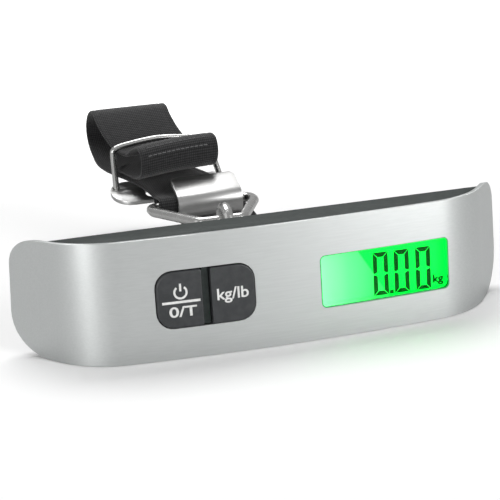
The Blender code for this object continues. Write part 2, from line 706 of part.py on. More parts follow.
def push_button(side, name):
    back = COVER_THICK + FIT
    key = prism(key_outline(side, -FIT), "Y", -OVERRUN, 2 * OVERRUN)
    keep_common(key, skin(-KEY_PROUD, back + KEY_FLANGE_THICK / 2))
    edge = key.modifiers.new("soft_edge", "BEVEL")
    edge.width = KEY_SOFT_EDGE
    edge.segments = 2
    edge.limit_method = "ANGLE"
    edge.angle_limit = math.radians(50)
    flange = prism(key_outline(side, KEY_FLANGE), "Y", -OVERRUN, 2 * OVERRUN)
    keep_common(flange, skin(back, back + KEY_FLANGE_THICK))
    stem_end = BOARD_FRONT - SWITCH_HEIGHT - 1.2 * mm
    stem = rod(STEM_RADIUS, key_back(side) - KEY_FLANGE_THICK / 2, stem_end,
               key_x(side), PANEL_CENTRE[1])
    join(key, flange, stem)
    place(key, name, KEY_RUBBER)
    return hang_on_pivot(key, name + "_slide", (key_x(side), 0.0, PANEL_CENTRE[1]))


def plunger(side, name):
    """The switch's own plunger, pushed by the key's stem."""
    front = BOARD_FRONT - SWITCH_HEIGHT - 0.9 * mm
    pin = rod(PLUNGER_RADIUS, front, BOARD_FRONT - 0.9 * mm - KEY_TRAVEL,
              key_x(side), PANEL_CENTRE[1])
    return place(pin, name, WHITE_PLASTIC)


def tact_switch(side, name):
    x, z = key_x(side), PANEL_CENTRE[1]
    half = SWITCH_SIZE / 2
    rear = BOARD_FRONT - 0.1 * mm
    body = box((x - half, BOARD_FRONT - SWITCH_HEIGHT, z - half), (x + half, rear, z + half))
    cut(body, rod(PLUNGER_RADIUS + FIT, BOARD_FRONT - SWITCH_HEIGHT - OVERRUN,
                  BOARD_FRONT - 0.5 * mm, x, z))
    return place(body, name, PLAIN_STEEL)


def button_frame():
    """The carrier behind the keys, with the rib that shows between them."""
    (cx, cz), (width, height) = PANEL_CENTRE, PANEL_SIZE
    front = COVER_THICK + FIT + KEY_FLANGE_THICK + KEY_TRAVEL + 0.2 * mm
    size = (width + 3 * mm, height + 1.6 * mm)
    plate = prism(rounded_rectangle((cx, cz), size, PANEL_CORNER), "Y", -OVERRUN, 2 * OVERRUN)
    keep_common(plate, skin(front, front + CARRIER_THICK))
    half = GROOVE / 2 - FIT
    rib = prism(rounded_rectangle((GROOVE_X, cz), (2 * half, height - 2 * FIT), 0.3 * mm, 2),
                "Y", -OVERRUN, 2 * OVERRUN)
    keep_common(rib, skin(0.9 * mm, front + CARRIER_THICK / 2))
    join(plate, rib)
    for side in (-1, 1):
        cut(plate, rod(STEM_RADIUS + 2 * FIT, -OVERRUN, 2 * OVERRUN, key_x(side), cz))
    return place(plate, "button_frame", BLACK_PLASTIC)


# ---- board -------------------------------------------------------------
def circuit_board():
    outline = ((BOARD_LEFT, BOARD_LOW + BOARD_STEP), (BOARD_STEP_X, BOARD_LOW + BOARD_STEP),
               (BOARD_STEP_X, BOARD_LOW), (BOARD_RIGHT, BOARD_LOW),
               (BOARD_RIGHT, BOARD_HIGH), (BOARD_STEP_X, BOARD_HIGH),
               (BOARD_STEP_X, BOARD_HIGH - BOARD_STEP), (BOARD_LEFT, BOARD_HIGH - BOARD_STEP))
    corner = 1.0 * mm
    board = prism(filleted(outline, (corner, 0, corner, corner, corner, corner, 0, corner), 3),
                  "Y", BOARD_FRONT, BOARD_FRONT + BOARD_THICK)
    for x, z in BOARD_POSTS:
        cut(board, rod(BOARD_SCREW_RADIUS + FIT, BOARD_FRONT - OVERRUN,
                       BOARD_FRONT + OVERRUN, x, z))
    return place(board, "circuit_board", GREEN_BOARD)


def processor_blob():
    """The epoxy dome over the chip, on the board's back."""
    rear = BOARD_FRONT + BOARD_THICK + 0.1 * mm
    bpy.ops.mesh.primitive_cylinder_add(vertices=LARGE_ROUND, radius=4.6 * mm, depth=1.5 * mm,
                                        location=(18 * mm, rear + 0.75 * mm, 13 * mm),
                                        rotation=(math.pi / 2, 0, 0))
    dome = bpy.context.object
    bpy.ops.object.transform_apply(location=True, rotation=True, scale=True)
    shape = bmesh.new()
    shape.from_mesh(dome.data)
    crown = [edge for edge in shape.edges
             if all(vert.co.y > rear + 0.75 * mm for vert in edge.verts)]
    bmesh.ops.bevel(shape, geom=crown, offset=1.3 * mm, segments=4, profile=0.5,
                    affect="EDGES")
    shape.to_mesh(dome.data)
    shape.free()
    return place(dome, "processor_blob", EPOXY)


def fastener(x, z, seat, end, head_radius, head_thick, radius):
    """A round-headed screw along -y, its head behind the seat."""
    screw = rod(head_radius, seat, seat + head_thick, x, z)
    join(screw, rod(radius, end, seat + head_thick / 2, x, z, sides=16))
    cut(screw, box((x - head_radius * 0.6, seat + head_thick * 0.6, z - 0.25 * mm),
                   (x + head_radius * 0.6, seat + head_thick + OVERRUN, z + 0.25 * mm)),
        box((x - 0.25 * mm, seat + head_thick * 0.6, z - head_radius * 0.6),
            (x + 0.25 * mm, seat + head_thick + OVERRUN, z + head_radius * 0.6)))
    return screw


def housing_screws():
    seat = SCREW_SEAT + 0.1 * mm
    for index, (x, z) in enumerate(SCREW_PLACES):
        screw = fastener(x, z, seat, SCREW_SEAT / 2 + 1 * mm, SCREW_HEAD_RADIUS,
                         SCREW_HEAD_THICK, SCREW_RADIUS)
        place(screw, f"housing_screw_{index + 1}", PLAIN_STEEL)


def board_screws():
    seat = BOARD_FRONT + BOARD_THICK + 0.1 * mm
    for index, (x, z) in enumerate(BOARD_POSTS):
        screw = fastener(x, z, seat, BOARD_FRONT / 2 + 1 * mm, 1.4 * mm, 0.9 * mm,
                         BOARD_SCREW_RADIUS)
        place(screw, f"board_screw_{index + 1}", PLAIN_STEEL)


# ---- load cell ---------------------------------------------------------
def load_cell():
    """A bending beam: fixed at the right, pulled by the eye bolt at the left."""
    low, high = HOOK_Z - BEAM_HEIGHT / 2, HOOK_Z + BEAM_HEIGHT / 2
    middle = BEAM_FRONT + BEAM_THICK / 2
    beam = box((BEAM_LEFT, BEAM_FRONT, low), (BEAM_RIGHT, BEAM_FRONT + BEAM_THICK, high))
    edge = beam.modifiers.new("edges", "BEVEL")
    edge.width = 0.4 * mm
    edge.segments = 1
    for x in BEAM_HOLES:
        cut(beam, rod(BEAM_HOLE_RADIUS, low - OVERRUN, high + OVERRUN, x, middle, "Z"))
    cut(beam, box((BEAM_HOLES[0], middle - BEAM_SLOT / 2, low - OVERRUN),
                  (BEAM_HOLES[1], middle + BEAM_SLOT / 2, high + OVERRUN)))
    far = BEAM_FRONT + BEAM_THICK + OVERRUN
    cut(beam, rod(SHANK_RADIUS + FIT, BEAM_FRONT - OVERRUN, far, HOOK_X, HOOK_Z))
    for x in BEAM_SCREWS:
        cut(beam, rod(BEAM_SCREW_RADIUS + FIT, BEAM_FRONT - OVERRUN, far, x, HOOK_Z))
    return place(beam, "load_cell", ALUMINIUM)


def strain_gauges():
    """Four gauges, glued over the thin places beside the beam's two holes."""
    length, thick, height = GAUGE_SIZE
    gap = 0.1 * mm
    fronts = (BEAM_FRONT - gap - thick, BEAM_FRONT + BEAM_THICK + gap)
    for column, x in enumerate(BEAM_HOLES):
        for row, front in enumerate(fronts):
            pad = box((x - length / 2, front, HOOK_Z - height / 2),
                      (x + length / 2, front + thick, HOOK_Z + height / 2))
            edge = pad.modifiers.new("soft_edge", "BEVEL")
            edge.width = 0.12 * mm
            edge.segments = 1
            place(pad, f"strain_gauge_{2 * column + row + 1}", GAUGE_FILM)


def gauge_wires():
    """The gauges' lead to the back of the board."""
    start = Vector((BEAM_HOLES[1] + GAUGE_SIZE[0] / 2 + 0.8 * mm, BEAM_FRONT - 0.8 * mm,
                    HOOK_Z))
    end = Vector((start.x + 3 * mm, BOARD_FRONT + BOARD_THICK + 0.7 * mm, HOOK_Z - 8 * mm))
    return place(wire(sagging_line(start, end), 0.5 * mm, resolution=1), "gauge_wires",
                 PINK_ELASTOMER)


def load_cell_screws():
    top = BEAM_FRONT - 0.1 * mm
    for index, x in enumerate(BEAM_SCREWS):
        screw = rod(2.4 * mm, top - 1.8 * mm, top, x, HOOK_Z)
        join(screw, rod(BEAM_SCREW_RADIUS, top - 0.9 * mm, BODY_DEPTH - 2.5 * WALL, x, HOOK_Z,
                        sides=16))
        cut(screw, rod(1.3 * mm, top - 1.8 * mm - OVERRUN, top - 0.9 * mm, x, HOOK_Z, sides=6))
        place(screw, f"load_cell_screw_{index + 1}", PLAIN_STEEL)


def eye_bolt():
    """The pulled bolt: shank through beam and rear wall, collar, and its eye."""
    end = EYE_Y - EYE_RADIUS
    bolt = rod(SHANK_RADIUS, BEAM_FRONT - NUT_THICK - 0.2 * mm, end, HOOK_X, HOOK_Z)
    turned = rod(COLLAR_RADIUS, COLLAR_Y - COLLAR_LENGTH / 2, COLLAR_Y + COLLAR_LENGTH / 2,
                 HOOK_X, HOOK_Z)
    edge = turned.modifiers.new("edges", "BEVEL")
    edge.width = 0.6 * mm
    edge.segments = 2
    edge.limit_method = "ANGLE"
    bpy.ops.mesh.primitive_torus_add(major_radius=EYE_RADIUS, minor_radius=EYE_WIRE,
                                     major_segments=32, minor_segments=12,
                                     location=(HOOK_X, EYE_Y, HOOK_Z),
                                     rotation=(0, math.pi / 2, 0))
    eye = bpy.context.object
    bpy.ops.object.transform_apply(location=True, rotation=True, scale=True)
    join(bolt, turned, eye)
    return place(bolt, "eye_bolt", BRIGHT_STEEL)


def eye_nut():
    nut = rod(NUT_WIDTH / 2 / math.cos(math.pi / 6), BEAM_FRONT - 0.1 * mm - NUT_THICK,
              BEAM_FRONT - 0.1 * mm, HOOK_X, HOOK_Z, sides=6)
    cut(nut, rod(SHANK_RADIUS + FIT, 0.0, BEAM_FRONT + OVERRUN, HOOK_X, HOOK_Z))
    return place(nut, "eye_nut", PLAIN_STEEL)


# ---- ring --------------------------------------------------------------
def smooth_path(points, steps):
    """Points on a Catmull-Rom curve through the given ones."""
    line = [Vector(point) for point in points]
    line = [2 * line[0] - line[1]] + line + [2 * line[-1] - line[-2]]
    path = []
    for p0, p1, p2, p3 in zip(line, line[1:], line[2:], line[3:]):
        for step in range(steps):
            t = step / steps
            path.append(0.5 * (2 * p1 + (p2 - p0) * t + (2 * p0 - 5 * p1 + 4 * p2 - p3) * t ** 2
                               + (3 * p1 - p0 - 3 * p2 + p3) * t ** 3))
    path.append(line[-2])
    return path


def triangle_ring():
    """A bent wire ring: a narrow end in the eye, shoulders, and the strap's bar."""
    reach = math.hypot(RING_FAR_Y - RING_NEAR_Y, RING_FAR_Z - RING_NEAR_Z)
    tilt = math.atan2(RING_FAR_Z - RING_NEAR_Z, RING_FAR_Y - RING_NEAR_Y)
    near, far = RING_NEAR_WIDTH / 2, RING_FAR_WIDTH / 2
    corners = ((-near, 0.0), (near, 0.0), (far, reach - RING_SHOULDER), (far, reach),
               (-far, reach), (-far, reach - RING_SHOULDER))
    soft = RING_CORNER * 1.6
    outline = filleted(corners, (RING_CORNER, RING_CORNER, soft, RING_CORNER,
                                 RING_CORNER, soft), 5)
    pivot = bpy.data.objects.new("ring_pivot", None)
    product.objects.link(pivot)
    pivot.location = (RING_X, RING_NEAR_Y, RING_NEAR_Z)
    pivot.rotation_euler = (tilt, 0.0, 0.0)
    ring = wire([(x, y, 0.0) for x, y in outline], RING_WIRE, cyclic=True)
    return place(ring, "triangle_ring", BRIGHT_STEEL, pivot)


# ---- hook plate --------------------------------------------------------
def hook_profile():
    """Middle line of the bent plate, (y, z), from its tip over the bar to the head."""
    bend = RING_WIRE + 2 * FIT + WEB_THICK + PLATE_THICK / 2
    line = []
    start = math.pi / 2 + HOOK_TIP_RISE
    finish = 3 * math.pi / 2 + HOOK_LEG_RISE
    for step in range(15):
        angle = start + (finish - start) * step / 14
        line.append((RING_FAR_Y + bend * math.cos(angle), RING_FAR_Z + bend * math.sin(angle)))
    first, last = line[0], line[-1]
    tip = (first[0] + HOOK_TIP * math.cos(HOOK_TIP_RISE),
           first[1] + HOOK_TIP * math.sin(HOOK_TIP_RISE))
    run = HEAD_END - last[0]
    end = (HEAD_END, last[1] + run * math.tan(HOOK_LEG_RISE))
    return [tip] + line + [end]


def thick_line(line, thick):
    """A closed outline: a line with a thickness."""
    near, far = [], []
    for index, point in enumerate(line):
        here = Vector(point)
        before = Vector(line[max(index - 1, 0)])
        after = Vector(line[min(index + 1, len(line) - 1)])
        along = (after - before).normalized()
        side = Vector((-along.y, along.x)) * thick / 2
        near.append(tuple(here + side))
        far.append(tuple(here - side))
    return near + far[::-1]


def hook_plate():
    """A stamped hook: its tip lies over the ring's bar, its head carries the bail."""
    left = HEAD_LEFT - OVERRUN
    right = HEAD_RIGHT + OVERRUN
    plate = prism(thick_line(hook_profile(), PLATE_THICK), "X", left, right)
    centre = HOOK_CENTRE
    half = HOOK_WIDTH / 2
    front = RING_FAR_Y - 2 * OVERRUN
    neck = HEAD_START
    plan = ((centre - half, front), (centre + half, front), (centre + half, neck),
            (HEAD_RIGHT, neck), (HEAD_RIGHT, HEAD_END - WELD), (HEAD_LEFT, HEAD_END - WELD),
            (HEAD_LEFT, neck), (centre - half, neck))
    round_plan = filleted(plan, (0, 0, 2 * mm, HEAD_CORNER, HEAD_CORNER,
                                 HEAD_CORNER, HEAD_CORNER, 2 * mm), 6)
    keep_common(plate, prism(round_plan, "Z", 0.0, FACE_HEIGHT), None)
    tip_y = hook_profile()[0][0]
    for side in (-1, 1):
        edge = centre + side * half
        corner = 2.2 * mm
        inner = edge - side * corner
        wedge = [(inner, tip_y + 1 * mm)]
        for step in range(7):
            angle = math.pi / 2 * step / 6
            wedge.append((inner + side * corner * math.sin(angle),
                          tip_y - corner + corner * math.cos(angle)))
        wedge.append((edge + side * 1 * mm, tip_y - corner))
        wedge.append((edge + side * 1 * mm, tip_y + 1 * mm))
        if side > 0:
            wedge = wedge[::-1]
        cut(plate, prism(wedge, "Z", RING_FAR_Z + 2 * RING_WIRE, FACE_HEIGHT), parent=None)
    slot = rounded_rectangle((SLOT_X, (SLOT_START + SLOT_END) / 2),
                             (SLOT_WIDTH, SLOT_END - SLOT_START), 2 * mm)
    cut(plate, prism(slot, "Z", 0.0, RING_FAR_Z + 4 * mm), parent=None)
    for x in (BAIL_LEFT, BAIL_RIGHT):
        cut(plate, rod(BAIL_WIRE + FIT, 0.0, FACE_HEIGHT, x, BAIL_Y, "Z", 16), parent=None)
    place(plate, "hook_plate", BRIGHT_STEEL, None)
    return hang_on_pivot(plate, "hook_hinge", (STRAP_X, RING_FAR_Y, RING_FAR_Z), None)


def head_height(y):
    """Height of the head's middle surface."""
    base_y, base_z = hook_profile()[-2]
    return base_z + (y - base_y) * math.tan(HOOK_LEG_RISE)


def keeper_bail():
    """The wire bail that holds the folded strap down on the hook's head."""
    low = head_height(BAIL_Y) - PLATE_THICK / 2 - BAIL_WIRE
    left, right, top = BAIL_LEFT, BAIL_RIGHT, low + BAIL_HEIGHT
    step = FOLD_STEP
    route = ((left, low), (left, low + 4 * step), (left - 0.2 * step, top - 9.0 * step),
             (left - 0.3 * step, top - 3.6 * step), (left + 0.1 * step, top - 2.3 * step),
             (left + 2.0 * step, top - 1.6 * step), (left + 4.9 * step, top - 1.2 * step),
             (left + 9.8 * step, top - 0.5 * step), (left + 15.6 * step, top),
             (right - 12.4 * step, top - 0.3 * step), (right - 6.8 * step, top - 1.4 * step),
             (right - 2.6 * step, top - 2.8 * step), (right - 0.2 * step, top - 5.2 * step),
             (right + 0.2 * step, top - 9.0 * step), (right, low + 4 * step), (right, low))
    points = smooth_path([(x, BAIL_Y, z) for x, z in route], 4)
    bail = place(wire(points, BAIL_WIRE, resolution=2), "keeper_bail", BRIGHT_STEEL, None)
    centre = ((BAIL_LEFT + BAIL_RIGHT) / 2, BAIL_Y, head_height(BAIL_Y))
    return hang_on_pivot(bail, "bail_hinge", centre, None)


# ---- strap -------------------------------------------------------------
# Each stop is (y, z, middle x, width).  The webbing starts on the table, goes
# up through the slot in the hook's head, round the ring's bar, back under the
# bail, round the far loop, forward under the bail again and round the near
# roll, and ends inside the fold.
def on_route(y, z, x, width):
    """One stop, drawn on a 1 mm grid whose bar is at (74.5, 21), set on the real bar."""
    lift = RING_FAR_Z / 21.0
    return (RING_FAR_Y + (y - 74.5) * FOLD_STEP, z * lift,
            STRAP_X + (x + 4.5) * FOLD_STEP, width * FOLD_STEP)


def strap_stops():
    mid = RING_WIRE + FIT + WEB_THICK / 2
    bar_y, bar_z = RING_FAR_Y, RING_FAR_Z
    stops = [(98.0, 0.62, -1.5, 26), (93.0, 0.62, -1.2, 26), (88.4, 0.62, -0.8, 26),
             (84.2, 1.2, -0.4, 26), (81.4, 3.4, 0.0, 26), (80.6, 6.8, 0.2, 26),
             (82.0, 10.2, 0.0, 26), (85.2, 13.2, -0.8, 26), (88.8, 16.2, -2.0, 26),
             (91.2, 19.2, -3.0, 26), (90.8, 21.9, -3.5, 26), (87.4, 22.4, -3.9, 26),
             (83.6, 21.2, -4.1, 26), (79.4, 19.7, -4.4, 26)]
    stops = [on_route(*stop) for stop in stops]
    for degrees in (270, 225, 180, 135, 90):
        angle = math.radians(degrees)
        stops.append((bar_y + mid * math.cos(angle), bar_z + mid * math.sin(angle),
                      STRAP_X, WEB_WIDTH))
    rest = [(79.8, 23.3, -5.0, 26), (85.6, 24.4, -6.4, 26), (91.4, 25.4, -8.4, 26),
            (97.2, 26.0, -10.8, 26), (103.0, 26.4, -13.2, 26), (109.0, 26.7, -15.0, 26),
            (116.0, 27.2, -16.0, 26), (123.0, 28.5, -16.0, 26), (129.2, 31.0, -16.0, 26),
            (132.2, 34.8, -16.0, 26), (131.0, 38.9, -16.0, 26), (127.2, 42.2, -16.0, 26),
            (122.0, 44.4, -16.0, 26), (117.2, 44.6, -16.0, 26), (112.6, 42.2, -15.8, 26),
            (107.6, 38.6, -14.6, 26), (102.4, 36.0, -12.6, 26), (97.2, 35.4, -10.8, 26),
            (91.8, 37.2, -9.6, 26), (86.6, 38.8, -8.8, 26), (82.7, 37.6, -8.5, 26),
            (81.2, 34.3, -8.5, 26), (82.6, 31.2, -8.5, 26), (86.0, 29.4, -8.8, 26),
            (91.6, 28.9, -9.6, 26), (97.2, 29.0, -11.0, 26), (102.6, 29.3, -12.4, 26)]
    return stops + [on_route(*stop) for stop in rest]


def strap_webbing():
    """One flat ribbon that follows the stops, with its thickness given to it."""
    stops = strap_stops()
    path = smooth_path([(y, z, x) for y, z, x, _ in stops], 3)
    widths = smooth_path([(width, 0.0, 0.0) for *_, width in stops], 3)
    shape = bmesh.new()
    rows = []
    for place_at, width in zip(path, widths):
        y, z, x = place_at
        half = width[0] / 2
        rows.append([shape.verts.new((x + side * half, y, z)) for side in (-1, 0, 1)])
    for row, after in zip(rows, rows[1:]):
        for index in (0, 1):
            shape.faces.new((row[index], row[index + 1], after[index + 1], after[index]))
    data = bpy.data.meshes.new("strap_webbing")
    shape.to_mesh(data)
    shape.free()
    data.shade_smooth()
    strap = bpy.data.objects.new("strap_webbing", data)
    bpy.context.scene.collection.objects.link(strap)
    thicken = strap.modifiers.new("thickness", "SOLIDIFY")
    thicken.thickness = WEB_THICK
    thicken.offset = 0.0
    thicken.use_even_offset = True
    place(strap, "strap_webbing", BLACK_WEBBING, None)
    return hang_on_pivot(strap, "strap_hinge", (STRAP_X, RING_FAR_Y, RING_FAR_Z), None)


# ---- build -------------------------------------------------------------
front_cover()
rear_housing()
battery_door()
coin_cell()
battery_spring()
battery_contact()
battery_leads()
window_lens()
lcd_glass()
lcd_backlight()
lcd_frame()
elastomer_connector()
push_button(-1, "power_button")
push_button(1, "unit_button")
plunger(-1, "power_plunger")
plunger(1, "unit_plunger")
tact_switch(-1, "power_switch")
tact_switch(1, "unit_switch")
button_frame()
circuit_board()
processor_blob()
housing_screws()
board_screws()
load_cell()
strain_gauges()
gauge_wires()
load_cell_screws()
eye_bolt()
eye_nut()
triangle_ring()
hook_plate()
keeper_bail()
strap_webbing()
bpy.context.view_layer.update()
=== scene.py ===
# %% [markdown]
# # A digital luggage scale, dressed
#
# The solids of this scale arrive from the frame: a curved silver cover, a
# black housing, two keys, a lit display, and behind them an eye bolt, a wire
# ring, a stamped hook and a folded strap. This lesson gives every surface its
# finish and models the pieces whose detail the solids leave out. Places are
# in the frame's own axes: +X runs along the handle, +Y goes from the display
# towards the strap, and the table is at z = 0. Blender counts in metres, so
# lengths in millimetres are multiplied by mm.

# %% Load the frame
import math

import bmesh
import bpy
from mathutils import Matrix, Vector


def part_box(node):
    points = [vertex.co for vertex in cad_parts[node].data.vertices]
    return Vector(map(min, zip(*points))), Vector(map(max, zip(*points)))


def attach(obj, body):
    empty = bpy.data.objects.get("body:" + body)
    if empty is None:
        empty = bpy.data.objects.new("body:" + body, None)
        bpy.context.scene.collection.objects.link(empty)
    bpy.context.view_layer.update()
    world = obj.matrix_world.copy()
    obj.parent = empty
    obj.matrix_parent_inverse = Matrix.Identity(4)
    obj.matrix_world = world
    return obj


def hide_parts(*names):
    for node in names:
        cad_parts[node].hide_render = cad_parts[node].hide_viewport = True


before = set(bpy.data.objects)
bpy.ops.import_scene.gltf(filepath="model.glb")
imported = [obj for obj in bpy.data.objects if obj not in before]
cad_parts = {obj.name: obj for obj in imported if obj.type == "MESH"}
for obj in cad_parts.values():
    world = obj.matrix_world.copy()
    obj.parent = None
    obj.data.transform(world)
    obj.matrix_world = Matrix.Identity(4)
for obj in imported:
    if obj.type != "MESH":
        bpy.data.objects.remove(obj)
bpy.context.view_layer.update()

mm = 0.001
bpy.ops.object.select_all(action="DESELECT")
print("nodes:", len(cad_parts))

# %% [markdown]
# ## The camera
#
# The camera stands to the left of the scale and a little above it, with a
# long lens, and it is tilted slightly about its own axis. It could be aimed
# with two angles, but the tilt would need a third. So its three directions
# are written out as the rows of a matrix, right, up and back, which is then
# turned over so that they stand in its columns.


# %% Camera
def place_object(name, data):
    """A new object at the origin, linked to the scene."""
    made = bpy.data.objects.new(name, data)
    bpy.context.scene.collection.objects.link(made)
    return made


EYE_POINT = Vector((-0.1259, -0.4162, 0.1600))
LOOK = Vector((0.2591, 0.9197, -0.2951))
RIGHT = Vector((0.9573, -0.2851, -0.0478))
UP = Vector((0.1281, 0.2701, 0.9543))
camera_data = bpy.data.cameras.new("camera")
camera_data.lens = 115.87
camera_data.sensor_width = 36
camera_data.clip_start = 0.01
camera = place_object("camera", camera_data)
facing = Matrix((RIGHT, UP, -LOOK)).transposed().to_4x4()
camera.matrix_world = Matrix.Translation(EYE_POINT) @ facing
bpy.context.scene.camera = camera
bpy.context.scene.view_settings.view_transform = "Standard"
print("camera at", tuple(camera.location))

# %% [markdown]
# ## Small helpers for node materials
#
# Every finish is a Principled shader whose colour, roughness and bump come
# from procedural textures. Painted pictures would show their pixels up close
# and would need unwrapping, so the textures read Object coordinates instead,
# where one unit is a metre on the real piece. Values that are the same all
# over a surface are typed on the shader's own sockets.


# %% Material helpers
def new_finish(name, colour, roughness, metallic=0.0, specular=0.5, coat=0.0,
               sheen=0.0):
    made = bpy.data.materials.new(name)
    made.use_nodes = True
    shader = shader_of(made)
    shader.inputs["Base Color"].default_value = (*colour, 1)
    shader.inputs["Roughness"].default_value = roughness
    shader.inputs["Metallic"].default_value = metallic
    shader.inputs["Specular IOR Level"].default_value = specular
    shader.inputs["Coat Weight"].default_value = coat
    shader.inputs["Coat Roughness"].default_value = 0.08
    shader.inputs["Sheen Weight"].default_value = sheen
    return made


def shader_of(finish):
    return finish.node_tree.nodes["Principled BSDF"]


def add(owner, kind, **values):
    """A new node. A value is a setting or a socket, with _ for each space."""
    node = owner.node_tree.nodes.new(kind)
    for key, value in values.items():
        if hasattr(node, key):
            setattr(node, key, value)
        else:
            node.inputs[key.replace("_", " ")].default_value = value
    return node


def wire(owner, source, target):
    owner.node_tree.links.new(source, target)


def paint_ramp(finish, *stops):
    """A colour ramp with a stop for each place and colour."""
    ramp = add(finish, "ShaderNodeValToRGB")
    while len(ramp.color_ramp.elements) < len(stops):
        ramp.color_ramp.elements.new(0.5)
    for element, (position, colour) in zip(ramp.color_ramp.elements, stops):
        element.position = position
        element.color = (*colour, 1)
    return ramp


def object_space(finish, stretch=(1, 1, 1), turned=(0, 0, 0)):
    place = add(finish, "ShaderNodeTexCoord")
    mapping = add(finish, "ShaderNodeMapping", Scale=stretch, Rotation=turned)
    wire(finish, place.outputs["Object"], mapping.inputs["Vector"])
    return mapping.outputs["Vector"]


def noise_on(finish, scale, stretch, detail):
    noise = add(finish, "ShaderNodeTexNoise", Scale=scale, Detail=detail)
    wire(finish, object_space(finish, stretch), noise.inputs["Vector"])
    return noise.outputs["Fac"]


def mottled(finish, dark, light, scale, stretch=(1, 1, 1)):
    """Let the base colour wander between two close tones."""
    ramp = paint_ramp(finish, (0.35, dark), (0.65, light))
    wire(finish, noise_on(finish, scale, stretch, 4.0), ramp.inputs["Fac"])
    wire(finish, ramp.outputs["Color"], shader_of(finish).inputs["Base Color"])


def uneven_gloss(finish, smooth, rough, scale, stretch=(1, 1, 1)):
    """Let the roughness vary, as wear and handling leave it."""
    spread = add(finish, "ShaderNodeMapRange", From_Min=0.3, From_Max=0.7,
                 To_Min=smooth, To_Max=rough)
    wire(finish, noise_on(finish, scale, stretch, 3.0), spread.inputs["Value"])
    wire(finish, spread.outputs["Result"], shader_of(finish).inputs["Roughness"])


def bumped(finish, height, strength, depth):
    """A fine relief from a height: depth is how deep it goes, in metres."""
    bump = add(finish, "ShaderNodeBump", Strength=strength, Distance=depth)
    wire(finish, height, bump.inputs["Height"])
    wire(finish, bump.outputs["Normal"], shader_of(finish).inputs["Normal"])


def grain(finish, scale, strength, depth, stretch=(1, 1, 1)):
    """An irregular fine relief."""
    bumped(finish, noise_on(finish, scale, stretch, 2.0), strength, depth)


print("helpers ready")

# %% [markdown]
# ## Finishes for the body
#
# The cover is moulded plastic under a satin silver lacquer. Metallic flake
# gives such a lacquer a soft, wide highlight and a very fine sparkle. A
# picture of sparkle would look painted on, so the metallic value is high, the
# roughness is middling and the relief is only microns deep. The housing is
# charcoal plastic with a spark-eroded texture, and the keys are matte rubber:
# dark tones that hardly vary, with a grain that breaks up the highlight.

# %% Cover, housing and key finishes
silver = new_finish("satin_silver_lacquer", (0.64, 0.66, 0.655), 0.36,
                    metallic=0.82)
mottled(silver, (0.605, 0.625, 0.62), (0.635, 0.655, 0.65), 2200, (0.05, 1, 1))
uneven_gloss(silver, 0.345, 0.37, 1800, (0.05, 1, 1))
grain(silver, 4200, 0.10, 0.01 * mm)

charcoal = new_finish("charcoal_plastic", (0.026, 0.033, 0.031), 0.5,
                      specular=0.22)
mottled(charcoal, (0.022, 0.029, 0.027), (0.031, 0.039, 0.037), 700)
uneven_gloss(charcoal, 0.46, 0.56, 90)
grain(charcoal, 2600, 0.20, 0.03 * mm)

key_rubber = new_finish("key_rubber", (0.028, 0.030, 0.032), 0.5, specular=0.45)
mottled(key_rubber, (0.024, 0.026, 0.028), (0.034, 0.036, 0.038), 500)
uneven_gloss(key_rubber, 0.42, 0.56, 150)
grain(key_rubber, 3000, 0.22, 0.03 * mm)
print("three body finishes")

# %% [markdown]
# ## Metal finishes
#
# The ring and the bail are nickel plated wire with a satin look, and the hook
# is stamped steel with fine rolling marks along it. A mirror finish would
# show every lamp as a hard spot, so the roughness is kept between a quarter
# and a half. The marks are a noise that is stretched along one axis.

# %% Metal finishes
bright = new_finish("nickel_plate", (0.58, 0.58, 0.57), 0.26, metallic=1.0)
mottled(bright, (0.56, 0.56, 0.55), (0.60, 0.60, 0.59), 220)
uneven_gloss(bright, 0.23, 0.29, 130, (1, 3, 1))

stamped = new_finish("stamped_steel", (0.48, 0.48, 0.475), 0.38, metallic=1.0)
mottled(stamped, (0.46, 0.46, 0.455), (0.50, 0.50, 0.495), 300, (0.2, 1, 1))
uneven_gloss(stamped, 0.34, 0.44, 240, (0.12, 1, 1))
grain(stamped, 1500, 0.10, 0.03 * mm, (0.05, 1, 1))

zinc = new_finish("zinc_screw", (0.52, 0.53, 0.55), 0.3, metallic=1.0)
mottled(zinc, (0.44, 0.45, 0.47), (0.60, 0.61, 0.62), 900)
uneven_gloss(zinc, 0.22, 0.42, 700)

aluminium = new_finish("milled_aluminium", (0.66, 0.67, 0.69), 0.35,
                       metallic=1.0)
mottled(aluminium, (0.6, 0.61, 0.63), (0.7, 0.71, 0.73), 400, (0.1, 1, 1))
uneven_gloss(aluminium, 0.28, 0.44, 500, (0.08, 1, 1))
print("four metal finishes")

# %% [markdown]
# ## The lit display
#
# Behind the clear lens, the display glass glows green. Over its left part lies
# a painted sheen band, much paler towards the left end, and a slanted edge
# separates that painted sheen from the deep green behind the digits. A lamp
# inside would need many samples to look even, so the glass itself glows. Both
# gradients read Object coordinates and stay on the glass from every side.

# %% Display finishes
# Painted sheen: the display's left part grows paler towards its left end, up to a
# slanted edge.
SHEEN_FADE_FROM, SHEEN_FADE_TO = 9.0 * mm, 28.5 * mm
SHEEN_SLANT = 0.62
SHEEN_EDGE_FROM, SHEEN_EDGE_TO = 36.4 * mm, 37.0 * mm
DEEP_GREEN = (0.0, 1.0, 0.075, 1)
PAINTED_SHEEN_STOPS = ((0.0, (0.36, 1.0, 0.50)), (0.55, (0.13, 1.0, 0.26)),
              (1.0, (0.03, 1.0, 0.13)))

